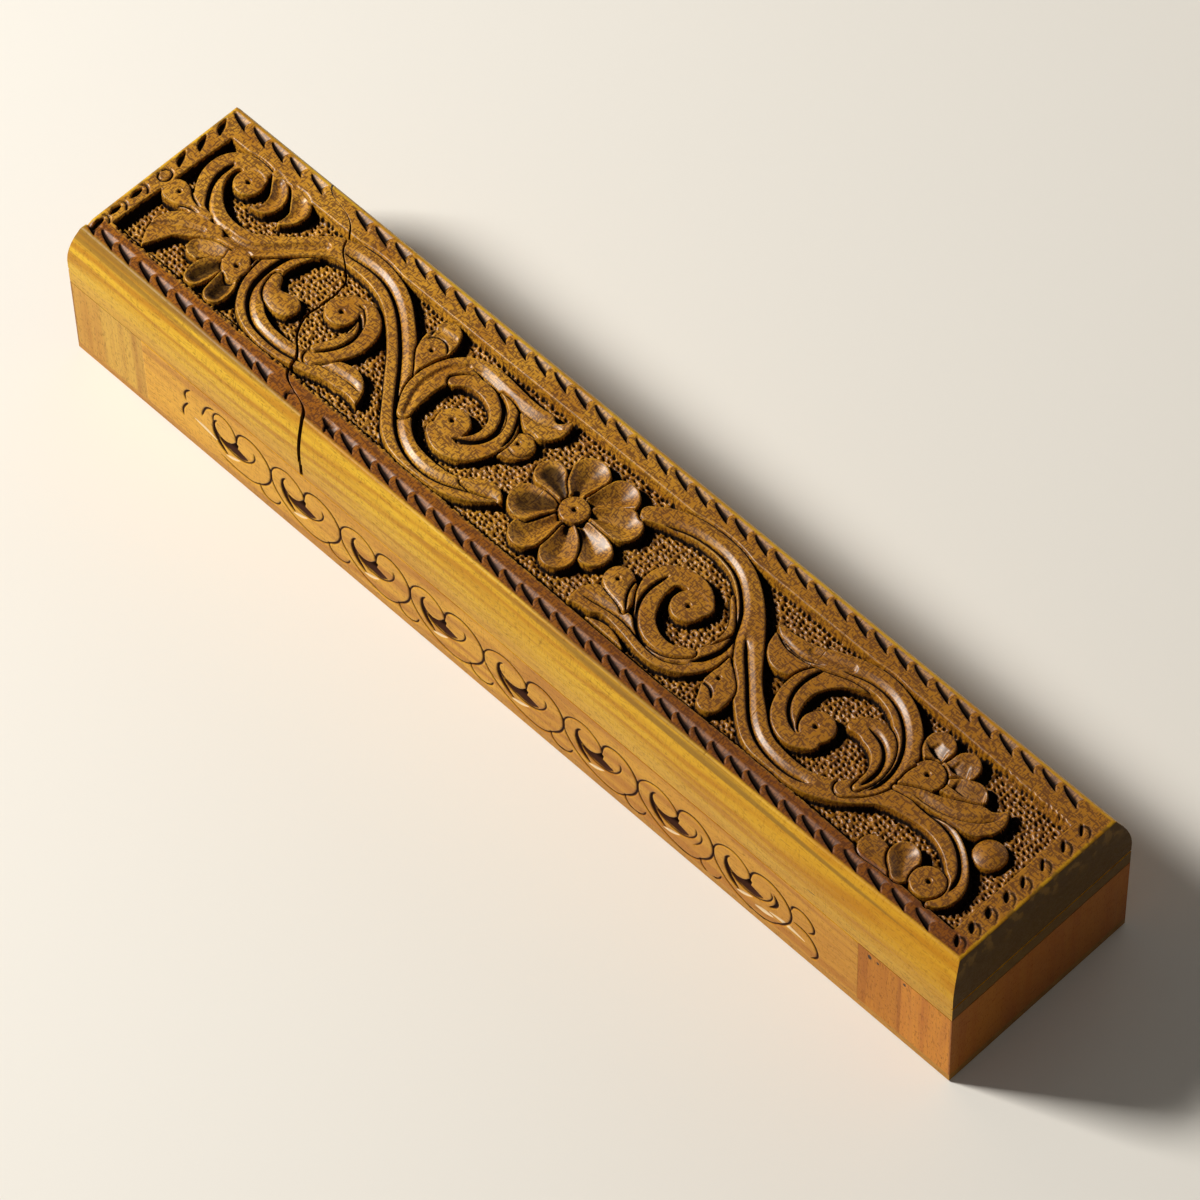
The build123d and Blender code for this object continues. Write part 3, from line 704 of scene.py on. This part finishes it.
# Second spiral and its buds.
lid.ribbon([(-43.6, -0.6, 0.3), (-44.9, 2, 0.9), (-45.8, 4, 1.7), (-46.4, 6.3, 2.8), (-46.5, 9.4, 3.3),
            (-46.8, 11.2, 2.8)], top=-0.1)
lid.groove([(-49, 7.6), (-48, 9), (-46.3, 9.6), (-44.5, 9), (-43.5, 7.8)], 0.7, 0.32, fade=1)
lid.pit(-46.2, 6.5, 0.5, 0.9)
lid.scoop([(-48, 10.5, 1.2), (-45, 10.8, 1.2)], 0.4)
lid.groove([(-49.3, 10.8), (-48.8, 8.8)], 0.6, 0.4, fade=0.6)
lid.ribbon([(-40, -6.5, 1.5), (-41.4, -2.5, 2.4), (-41.7, 1.5, 2.7), (-40.6, 5.4, 2.8), (-37.6, 8.8, 2.8),
            (-33, 10.4, 2.1), (-28, 10.2, 1.9), (-23, 9.5, 2.4), (-19.3, 9, 3.2), (-17, 10, 2.2),
            (-15.9, 13, 0.4)], top=-0.1)
lid.scoop([(-38.7, 8.6, 0.7), (-41, 6, 0.7), (-42, 2.5, 0.7), (-42, -0.8, 0.7), (-40.8, -4.2, 0.7),
           (-39.8, -6.5, 0.7)], 0.6)
lid.groove([(-38, 8.9), (-33.5, 8.9), (-29, 8.5), (-24.5, 8.5), (-20, 9), (-16.3, 10.8)], 0.8, 0.3, left=2.0)
lid.ribbon([(-21.2, -0.8, 0.8), (-20.2, 1.2, 2.5), (-19.4, 3.2, 2.9)], top=-0.3, crown=0.5)
lid.ribbon([(-30, 8.6, 0.5), (-26.4, 7.4, 1.3), (-23.6, 4.2, 1.7), (-22.9, 0.6, 1.8), (-24, -3, 2),
            (-26.8, -5.8, 2.2), (-30.2, -6.6, 2), (-33, -5.2, 2)], top=-0.25)
lid.ribbon([(-38.2, 4.6, 1.2), (-36, 6.6, 1.5), (-32.8, 7.1, 1.5), (-29.4, 6.4, 1.6), (-26.6, 4.2, 1.6),
            (-25.6, 1.2, 1.4), (-26.3, -1.6, 1), (-28.2, -3.8, 0.6)], top=-0.15)
lid.groove([(-31, 8.6), (-28, 7.2), (-25.6, 4.6), (-24.5, 1.5), (-25, -1.2), (-26.8, -3.2), (-30, -4.5)],
           1.5, 0.58, fade=4)
lid.groove([(-24.8, 8.2), (-23, 5.6), (-21.8, 2.8), (-21.5, 0.5)], 1.3, 0.4)
lid.disc(-31.8, -2.1, 3.5, top=-0.2, trench=0, eye=(-0.4, 0.3))
lid.pit(-19.9, 3.1, 0.5, 0.9)
lid.groove([(-20.6, 1.2), (-18.6, 0.9), (-17, 2.2), (-16.7, 3.8)], 0.5, 0.3, fade=1)

# Flower in the middle: eight hollowed petals, each lapping over the one before, round a button.
petal((0.8, -1.2, 1.5), (4.4, -2.6, 2.9), (6.9, -3.9, 3.6))
petal((-0.6, -3.2, 1.4), (1.4, -6, 2.9), (2.5, -8.8, 3.6))
petal((-3, -3.2, 1.4), (-4.1, -6.6, 3), (-4.8, -9.6, 3.6))
# The two petals on the left get a darker hollow: painted shade, as they face away from the lamp.
petal((-5, -1.4, 1.5), (-7.6, -3.2, 3.1), (-9.3, -4.6, 4.1), hollow=1.2, dye_and_shade=0.55)
petal((-5.4, 0.7, 1.3), (-8.6, 1.9, 2.6), (-10.6, 2.4, 3.3), hollow=0.8, dye_and_shade=0.6)
petal((-4, 2.6, 1.5), (-5, 5.2, 3.1), (-5.3, 7.2, 4), dye_and_shade=0.4)
petal((-0.9, 3, 1.5), (0.9, 5.6, 3.1), (2.1, 7.6, 3.9))
petal((1.2, 1.6, 1.5), (4.4, 3, 3.1), (6.8, 3.8, 3.8))
lid.disc(-2, -0.1, 3.0, top=0.0, eye=(0, 0))

# Third spiral, and the long stem that starts at its top and runs to the right end.
lid.ribbon([(33, 7, 1.6), (36.8, 2.5, 1.6), (37.6, -2, 1.6), (36.5, -6, 1.6)], top=-0.3)
lid.ribbon([(39, 3, 1.2), (39.3, -0.5, 1.8), (38.3, -4.8, 2.4), (35.6, -9, 2.8), (30, -11.4, 2.7),
            (25, -11, 2.5), (21, -10.9, 2), (17, -10.3, 2.7), (13.4, -11.6, 3), (11.2, -14.2, 0.8)],
           top=-0.15)
lid.groove([(12.6, -12.1), (17, -11.3), (21, -10.95), (25, -11.5), (29, -12.1), (33, -11.6), (36.4, -9.2)],
           0.9, 0.4, left=1.5)
lid.ribbon([(8.4, 8.9, 1.8), (12.6, 11.2, 2.3), (18, 12.6, 2.3), (24, 12.8, 2.3), (29.5, 11.6, 2.4),
            (34, 8.9, 2.5), (38, 5.2, 2.6), (42, 0.6, 2.7), (46.6, -4.7, 2.8), (51.5, -8.8, 2.9),
            (56.5, -12, 2.8), (62, -12.7, 2.4), (67.5, -12.6, 2.4), (72, -11, 2.4), (76, -8.4, 2.4),
            (80, -5.2, 2.2), (85, -3.2, 2.4), (91, -2.6, 2.4), (96, -3.8, 2.3), (100.6, -7, 2.1),
            (103, -10.8, 1.8), (102.9, -13.6, 1.3), (101.5, -15.4, 0.7)])
lid.groove([(12.5, 9.2), (17, 10.9), (21, 11.5), (25, 11.4), (29, 10.3), (32.5, 8), (35.5, 5), (37.5, 1.5),
            (38.5, -2), (38, -5), (36.3, -8.2)], 1.1, 0.5, left=1.6)
lid.groove([(40.2, 1.4), (43, -1.4), (46, -4.2), (50, -8.1), (53, -10.6), (57, -12.6), (61, -13.4),
            (66, -13.3), (69, -12.5)], 1.1, 0.5, left=1.6)
lid.groove([(84, -1.6), (88, -1.9), (92, -1.9), (96, -3), (99.5, -5.4), (101.6, -8.2), (102.2, -11)],
           1.1, 0.5, left=1.5)
lid.ribbon([(19.8, -9, 0.6), (17.4, -6.6, 2.4), (14.4, -5, 3.1)], top=-0.2, crown=0.4)
lid.ribbon([(34.8, -7.2, 1), (31.6, -9.4, 1.3), (28, -9.6, 1.6), (24, -7.8, 1.9), (21.4, -4.6, 2.3),
            (20, -0.8, 2.75), (20.9, 2.4, 2.4), (24, 3.9, 2), (27.4, 3.4, 2), (29.8, 1.4, 1.9)], top=-0.2)
lid.groove([(20.4, 1.6), (19.9, -1.5), (20.2, -4.8), (22, -8.2), (24.6, -10.5), (27.6, -11.7)], 1.4, 0.5)
lid.groove([(16.6, -1.4), (17, -4.2), (18.2, -6.8), (20.4, -9.2)], 1.0, 0.35)
lid.disc(27.5, -0.4, 3.5, top=-0.2, trench=0)
lid.pit(14.3, -5.1, 0.5, 0.9)
lid.ribbon([(40.7, -3.2, 0.2), (41.8, -5.2, 1.4), (43, -7.8, 2.9), (44.2, -10.6, 3.1), (44.6, -12, 2.7)],
           top=-0.15)
lid.pit(42.3, -7.6, 0.5, 0.9)
lid.groove([(40.4, -10.2), (43, -10.4), (44.4, -11.7)], 0.9, 0.35, fade=1)

# Leaf over the stem, fourth ring and its comma leaf.
lid.ribbon([(56, 6.4, 1.6), (51.5, 4.8, 2.2), (48, 3.6, 2.8), (45, 4.6, 1.9), (43.4, 6.4, 0.8)], top=-0.2)
lid.ribbon([(64, 9.9, 0.8), (60, 8.6, 1.5), (56.2, 6, 2.4), (54.2, 2.2, 2.8), (54.6, -2.2, 2.8),
            (57, -6, 2.4), (60.5, -7.4, 1.7), (63.6, -5.8, 1.6)], top=-0.2)
lid.groove([(54.6, 7), (53.8, 4), (53.8, 0.5), (55.2, -2.8), (57.6, -5), (60, -6.1)], 1.4, 0.52)
lid.ribbon([(42.6, 8, 0.6), (46, 7.4, 1.5), (50, 7.8, 1.9), (54, 9.2, 2.3), (58.4, 11, 2.4),
            (62, 11.8, 2.5), (66, 11.8, 2.6), (70.5, 10.6, 2.7), (74.8, 7.4, 2.8), (77.4, 3, 2.9),
            (77.8, -1.6, 2.6), (76.6, -5.6, 2.2), (74.4, -8.6, 1.8)], top=-0.1)
lid.groove([(43.8, 6.6), (47, 6), (51, 6.3), (54, 7.6)], 0.6, 0.3, left=0.9)
lid.scoop([(50.5, 8.2, 1.0), (54.5, 9.4, 1.1), (58, 10.8, 0.9)], 0.5, dye_and_shade=0.2)
lid.groove([(57.5, 9.2), (61, 10.5), (65.5, 11), (69, 10.3), (73, 8), (76, 4.8), (77.8, 1), (78.2, -2.5),
            (77.5, -5.8)], 1.0, 0.45, left=1.6)
lid.disc(62.1, -2.6, 3.5, top=-0.2, trench=0, eye=(-0.3, -0.2))
lid.ribbon([(75.8, -6.8, 0.8), (76, -2.6, 1.5), (74.4, 1.2, 2.3), (71.2, 3.4, 2.9), (68.2, 3.2, 2.4),
            (66.6, 2.2, 1.4)], top=-0.2)
lid.groove([(69, 3.6), (72, 3.1), (74.7, 1.3), (76.2, -1.8), (76, -5.8)], 1.1, 0.48, left=1.2)

# Right end: a flower, a leaf, a berry and two petals cut by the border.
petal((82.2, 6.4, 1.9), (80.8, 8.8, 2.9), (80.5, 9.7, 3.1), hollow=0.3)
petal((84.8, 6.6, 1.9), (86.2, 8.9, 2.7), (86.7, 9.9, 2.9), hollow=0.3)
petal((86.8, 4.4, 1.6), (89.6, 5.6, 2.6), (91.6, 6.3, 2.9), hollow=0.3)
petal_edges = [
    [(79, 8.2), (81, 7.6), (82.8, 7.7)],
    [(84.6, 7.7), (86.4, 7.5), (88.6, 8.4)],
    [(87.6, 4.9), (91, 5.2), (94.2, 6.8)],
]
for petal_edge in petal_edges:
    lid.groove(petal_edge, 0.1, left=2.7, fade=0.5)
lid.ribbon([(80.9, -0.6, 0.8), (82, 1.4, 2.3), (83.2, 3.6, 3.3), (83.2, 3.8, 3.3)], top=-0.1)
lid.pit(83, 3.8, 0.55, 1.1)
lid.ribbon([(80.6, -2, 0.5), (84.5, -0.4, 1.3), (88.5, 0.6, 1.9), (92.5, 1.9, 2.6), (96.4, 3.3, 3.3),
            (98.3, 5.6, 2.1), (98.5, 8, 0.5)], top=-0.1)
lid.groove([(84, -0.9), (90, -0.1), (94.4, 1.6), (97.2, 4), (98.5, 6.2)], 0.4, 0.3, left=1.4, right=0.5)
lid.disc(102, -0.2, 3.3, crown=0.9, eye=None)
lid.ribbon([(92, -15, 1.2), (88.6, -14, 2.4), (86.2, -13.8, 2.7)], top=-0.3, crown=0.2)
lid.scoop([(90.5, -14.2, 1.4), (86.4, -13.8, 2.3)], 0.25, dye_and_shade=0.3)
petal((93.8, -14, 2.2), (92.4, -12, 3), (91.8, -11.2, 3.1), hollow=1.2, dye_and_shade=0.35)
lid.disc(98.3, -12.2, 3.4, eye=(0.1, 0.2))
lid.ribbon([(15.6, -14.7, 0.2), (20.2, -14.1, 0.9), (25, -14.9, 0.2)], top=-0.9)

# The border stays level with the forms. Each gouge cut starts in a point, deepens and ends at a
# curved stop cut, so the long borders look like a rope. The short ones have notches, with beads
# on the left and small arcs on the right.
cut_length, gentle, steep, hook, start_drop, full_drop = 4.6, 0.46, 2.4, 1.3, 0.3, 2.4


def gouge_cut(stop, top):
    """A plunging cut with one wide bevel, sloping down from a level line at top towards the front,
    and a steep wall below it. The wall starts close under the line and falls away from it towards a
    stop cut pressed with a hollow gouge, an arc whose middle lies hook behind its tips. The bevel is
    darkened, least along its upper edge: partly a stain, partly the painted shadow of the wall."""
    rows, columns = lid.window(stop - cut_length - 2.5, stop + 1.5, top - 3.2, top + 0.3)
    y = lid.upward[rows, None]
    arc = hook * np.clip(1 - ((y - top + 1.2) / 1.5) ** 2, -1, 1)
    ahead = lid.across[None, columns] - stop + arc
    share = np.clip(1 + ahead / cut_length, 0, 1)
    foot = top - start_drop - full_drop * share**0.7
    bevel = np.clip(np.minimum(gentle * (top - y), steep * (y - foot)), 0, None)
    cut = bevel * ease(-ahead / 0.25) * ease(share / 0.08)
    lid.height[rows, columns] = np.minimum(lid.height[rows, columns], -cut)
    up = (y - foot) / (top - foot)
    # The darkening is strongest by the steep wall and fades up the bevel: partly a stain, partly the painted
    # shadow that the wall casts.
    bevel_stain_and_shadow = 0.85 * ease(cut / 0.1) * ease((0.95 - up) / 0.68)
    lid.dye_and_shade[rows, columns] = np.maximum(lid.dye_and_shade[rows, columns], bevel_stain_and_shadow)


def bowed(stop, middle, rise):
    """Where the front border's row of cuts lies: a parabola, at middle by the ends of the lid and
    rise further forward half-way along."""
    return middle - rise * (1 - (stop / half_length) ** 2)


back_stops = [-107.5, -102, -97, -92, -86.2]
back_stops += list(np.interp(range(36), (0, 7, 14, 21, 28, 35), (-74, -36.8, 0.2, 35.9, 70.8, 107.3)))
for stop in back_stops:
    gouge_cut(stop, 19.5)
front_stops = [-109.7, -104.8, -100, -94.3, -89.5, -84.2, -79.5, -74.6, -70.2, -66, -62]
front_stops += list(np.interp(range(33), (0, 8, 16, 24, 28, 32), (-44, -5, 30.2, 65.2, 83, 106)))
for stop in front_stops:
    gouge_cut(stop, bowed(stop, -16.9, 0.8))
for stop in (-57.2, -46.8):
    bend = bowed(stop, -18.2, 1.0)
    lid.groove([(stop, bend + 1.1), (stop - 0.9, bend), (stop, bend - 1.2)], 0.7, 0.4, fade=0.8)
for y in (14.4, 9.2, 3.9):
    lid.scoop([(-112.7, y + 2.1, 0.2), (-112.1, y + 0.7, 0.7), (-111.4, y - 0.6, 0.6),
               (-110.8, y - 1.2, 0.15)], 1.1, dye_and_shade=0.7)
for y in (-5.0, -10.4, -14.8):
    lid.groove([(-112.8, y - 0.4), (-112.1, y + 0.3), (-111.1, y), (-110.3, y - 1)], 0.6, 0.35, fade=0.6)
    lid.scoop([(-112, y - 0.9, 0.3), (-112, y - 2.2, 0.7), (-111.9, y - 3.4, 0.3)], 1.0, dye_and_shade=0.6)
right_notches = ((14.6, 0.4), (9.9, 0.5), (4.6, 0.4), (-0.4, 0.5), (-4.6, 0.7), (-9.2, 0.8), (-13.4, 0.7),
                 (-17.2, 0.6))
for y, half in right_notches:
    lid.scoop([(109.9, y + 0.6, 0.3), (110.9, y + 0.9, 0.4), (112, y + 0.2, 0.35), (112.8, y - 1.2, 0.2)],
              0.12, dye_and_shade=0.6)
    lid.scoop([(109.6, y + 0.6, 0.2), (110.3, y - 0.2, half), (111, y - 1, 0.25)], 1.0, dye_and_shade=0.75)
bead = [(-111.2 + 1.3 * math.cos(k * 0.52), -0.5 + 1.5 * math.sin(k * 0.52)) for k in range(-6, 7)]
lid.groove(bead, 0.6, 0.3, fade=0.5)
lid.softened()

# The lid is stained before it is varnished. The stain stays black in cuts and punch marks and is
# rubbed off the arris. Behind each wall, on the side away from the lamp at the front left, the
# ground is painted black as a shadow. The tops keep their pores and ray flecks, and the front
# border took a redder stain.
small_hollows, large_hollows = lid.hollowness(0.3), lid.hollowness(0.9)
# Painted shadow: a cell darkens by how far the carving towards the lamp, at the front left, rises above a ray
# that climbs 0.75 mm for each millimetre, up to about 2 mm away.
lamp_side_y, lamp_side_x, light_ray_slope = 0.54, 0.84, 0.75
painted_shadow = np.zeros_like(lid.height)
for away in np.arange(0.3, 2.3, 0.2):
    shift = (int(lamp_side_y * away / net_pitch), int(lamp_side_x * away / net_pitch))
    painted_shadow = np.maximum(painted_shadow, np.roll(lid.height, shift, (0, 1)) - lid.height - light_ray_slope * away)
rubbed, plain, blackest = 0.15, 0.3, 1.0
settled_stain_and_shadow = 0.6 * np.clip(small_hollows / 0.25, 0, 1) + 0.12 * np.clip(large_hollows / 0.6, 0, 1)
# The painted shadow is added to the stain, in the same attribute.
settled_stain_and_shadow += 0.75 * np.clip(painted_shadow / 0.3, 0, 1)
lid_stain_and_shadow = plain + np.maximum(settled_stain_and_shadow, 0.75 * lid.dye_and_shade) - 0.12 * np.clip(-small_hollows / 0.15, 0, 1)
lid_stain_and_shadow = np.clip(lid_stain_and_shadow, rubbed, blackest)


def stained_finish(place, colour, shine, height):
    """Bare wood at 0, golden brown to one third and nearly black at 1, uneven as a brushed stain is;
    on the lid the black is partly painted shadow. It settles in the pores and ray flecks, and in long
    streaks below the arris. Towards the right end the top is painted darker, standing for shade where the
    light falls off."""
    stain = place.node("ShaderNodeAttribute", {"attribute_name": "stain"}, {}, output="Fac")
    x, y, z = place.part(0), place.part(1), place.part(2)
    light_gold, deep_gold = rgb(0.57, 0.27, 0.018), rgb(0.385, 0.15, 0.005)
    shaded_right_gold, fleck_brown = rgb(0.3, 0.113, 0.003), rgb(0.07, 0.016, 0.001)
    left_red, shaded_right_red = rgb(0.29, 0.082, 0.001), rgb(0.175, 0.044, 0.001)
    smoke_brown, stain_and_shadow_black = rgb(0.2, 0.1, 0.012), rgb(0.006, 0.0018, 0.0004)
    on_top = stain.between(0.05, 0.25)
    patch = place.stretched(80, 130, 130).clouds(4.0, 0.7)
    golden = patch.between(0.3, 0.7).mix(light_gold, deep_gold)
    # Painted shade: the top turns darker towards the right end, where the light falls off, and so does the
    # front border below.
    golden = (x.between(-0.04, 0.07) * 0.85).mix(golden, shaded_right_gold)
    front = 1 - y.between(-0.0163, -0.0153)
    golden = (front * 0.85).mix(golden, x.between(-0.11, 0.06).mix(left_red, shaded_right_red))
    rays = place.stretched(2900, 1000, 1000).clouds(1.0).between(0.51, 0.62)
    pores = place.stretched(800, 3000, 3000).clouds(1.0).between(0.51, 0.62)
    dashes = rays.math("MAXIMUM", rays, pores) * 0.75
    golden = dashes.mix(golden, fleck_brown)
    smoke = place.stretched(9, 420, 420).clouds(3.0).between(0.5, 0.62) * z.between(0.0315, 0.0352)
    colour = (smoke * 0.75).mix(colour, smoke_brown)
    colour = on_top.mix(colour, golden)
    # The black is the stain and, on the lid, the painted shadow.
    dark = (stain + (patch - 0.5) * 0.2).between(0.42, 0.85)
    colour = dark.mix(colour, stain_and_shadow_black)
    shine = shine + dashes * 0.15 + dark * 0.5
    varnish = (1 - dark) * (on_top * 0.7 + 0.3) * (1 - front * 0.35)
    return colour, shine, height - dashes * on_top, varnish


plank_wood = varnished("carved plank wood", (0.68, 0.405, 0.019), (0.46, 0.205, 0.005),
                       ring_place=(0, -20, 90), ring_pitch=3.8, ring_strength=0.85, lean=0.08,
                       roughness=0.4, coat=0.75, right_end_tone_and_shade=0.4, end_shade=0.95, finish=stained_finish)
cut_points = [(-51.3, -24.0), (-52.6, -20.0), (-57.4, -17.8), (-61.6, -15.6), (-63.2, -11.8), (-66.6, -8.7),
              (-69.4, -4.0), (-69.2, 2.0), (-70.4, 7.6), (-74.6, 11.0), (-76.6, 14.6), (-81.0, 17.4),
              (-86.2, 19.0), (-88.0, 24.0)]
cut_line = smooth_line([point + (1.0,) for point in cut_points], step=0.1)
kerf_front, kerf_back = 0.9, 0.4
plank_bottom, lid_top = plank_low.z, plank_high.z
straight_edge_height = 3.0
side_inset, end_inset, front_bow = 3.1, 1.6, 1.3
lean_slope, lean_bend = 0.0172, 0.01096
arris_drop, arris_width, rubbed_width = 0.3, 0.7, 1.3


def sawn(y, side):
    """Where the saw cut is at y: side is -1 on the short half and 1 on the long half."""
    kerf = np.interp(y, (cut_points[0][1], cut_points[-1][1]), (kerf_front, kerf_back))
    return np.interp(y, cut_line[:, 1], cut_line[:, 0]) + side * kerf / 2


def inset_share(z):
    """How much of its full inset the leaning side has at height z: a quadratic in the height
    above the straight edge."""
    rise = np.maximum(z - plank_bottom - straight_edge_height, 0)
    return lean_slope * rise + lean_bend * rise**2


def plank_plan(left, right, across, upward, z, chamfer=0.0):
    """Plan of the plank at height z. across and upward run from 0 to 1 along and over it; left
    and right say where this length stops: a place, "end" for the plank's own end, or "cut" for
    the saw cut. The bow of the front is a parabola, so place and bow are found in four rounds."""
    share = inset_share(z)
    end = half_length - end_inset * share - chamfer
    back = half_width - side_inset * share
    y = -back + upward * 2 * back
    for _ in range(4):
        first = -end if left == "end" else sawn(y, 1) if left == "cut" else left
        last = end if right == "end" else sawn(y, -1) if right == "cut" else right
        x = first + across * (last - first)
        front = -back - front_bow * share * (1 - (x / end) ** 2)
        y = front + upward * (back - front)
    return x, y, np.minimum(y - front, back - y), end


def carved_length(name, body, node, left, right, columns, rows):
    """One length of the plank with its carved top: plan and height at a grid of places, and
    below it the leaning and upright walls."""
    across, upward = np.meshgrid(np.linspace(0, 1, columns), np.linspace(0, 1, rows), indexing="ij")
    rim = lid_top - arris_drop
    x, y, from_edge, end = plank_plan(left, right, across, upward, rim)
    from_edge = np.minimum(from_edge, end - np.abs(x))
    arris = arris_drop * np.clip(1 - from_edge / arris_width, 0, 1) ** 2
    z = lid_top + np.minimum(lid.read(lid.height, x, y), 0) - arris
    top = np.stack([x, y, z], -1)
    # The stain read here carries the painted shadow too.
    stain = lid.read(lid_stain_and_shadow, x, y) * ease(from_edge / rubbed_width)
    levels = [(lid_top - drop, 0) for drop in (2.4, 3.9, 5.6, 7.2)]
    levels += [(plank_bottom + straight_edge_height, 0), (plank_bottom + 0.5, 0), (plank_bottom, 0.5)]
    rings = []
    for height, chamfer in levels:
        x, y, _, _ = plank_plan(left, right, once_round(across), once_round(upward), height, chamfer)
        rings.append(np.stack([x, y, np.full(len(x), height)], -1))
    piece = block_mesh(name, rings, top, stain, plank_wood)
    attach(piece, body)
    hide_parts(node)


carved_length("short_lid_carving", "short_lid", "short_lid_plank", "end", "cut", 280, 258)
carved_length("long_lid_carving_left", "long_lid", "long_lid_plank", "cut", -9.0, 370, 240)
carved_length("long_lid_carving_middle", "long_lid", "long_lid_plank", -9.0, 52.0, 360, 240)
carved_length("long_lid_carving_right", "long_lid", "long_lid_plank", 52.0, "end", 362, 240)

# Studio: a pale floor that runs up behind into a wall, one soft lamp high on the left and in
# front, and an even fill from all round.
floor_half, wall_height, wall_place = 1.6, 1.4, 1.5
turn_steps = np.linspace(0, math.pi / 2, 13)
cove = 0.25
profile = [(-floor_half, 0.0)]
profile += [(wall_place - cove + cove * math.sin(a), cove - cove * math.cos(a)) for a in turn_steps]
profile += [(wall_place, wall_height)]
floor_points = [(x, y, z) for x in (-floor_half, floor_half) for y, z in profile]
steps = len(profile)
floor_mesh = bpy.data.meshes.new("studio_floor")
floor_mesh.from_pydata(floor_points, [], [(k, k + steps, k + steps + 1, k + 1) for k in range(steps - 1)])
floor = bpy.data.objects.new("studio_floor", floor_mesh)
bpy.context.scene.collection.objects.link(floor)
paper = bpy.data.materials.new("studio paper")
paper.use_nodes = True
paper.node_tree.nodes["Principled BSDF"].inputs["Base Color"].default_value = rgb(0.78, 0.755, 0.71)
paper.node_tree.nodes["Principled BSDF"].inputs["Roughness"].default_value = 0.7
floor_mesh.materials.append(paper)

lamp_data = bpy.data.lights.new("soft lamp", "AREA")
lamp_data.shape = "SQUARE"
lamp_data.size = 0.33
lamp_data.energy = 33.5
lamp_data.color = (1.0, 0.97, 0.91)
lamp = bpy.data.objects.new("soft lamp", lamp_data)
lamp_place = Vector((-0.99, -0.63, 0.99))
lamp.matrix_world = Matrix.Translation(lamp_place) @ lamp_place.to_track_quat("Z", "Y").to_matrix().to_4x4()
bpy.context.scene.collection.objects.link(lamp)

world = bpy.data.worlds.new("fill")
world.use_nodes = True
world.node_tree.nodes["Background"].inputs["Color"].default_value = rgb(1.0, 0.96, 0.9)
world.node_tree.nodes["Background"].inputs["Strength"].default_value = 0.12
bpy.context.scene.world = world
bpy.context.scene.view_settings.view_transform = "Standard"
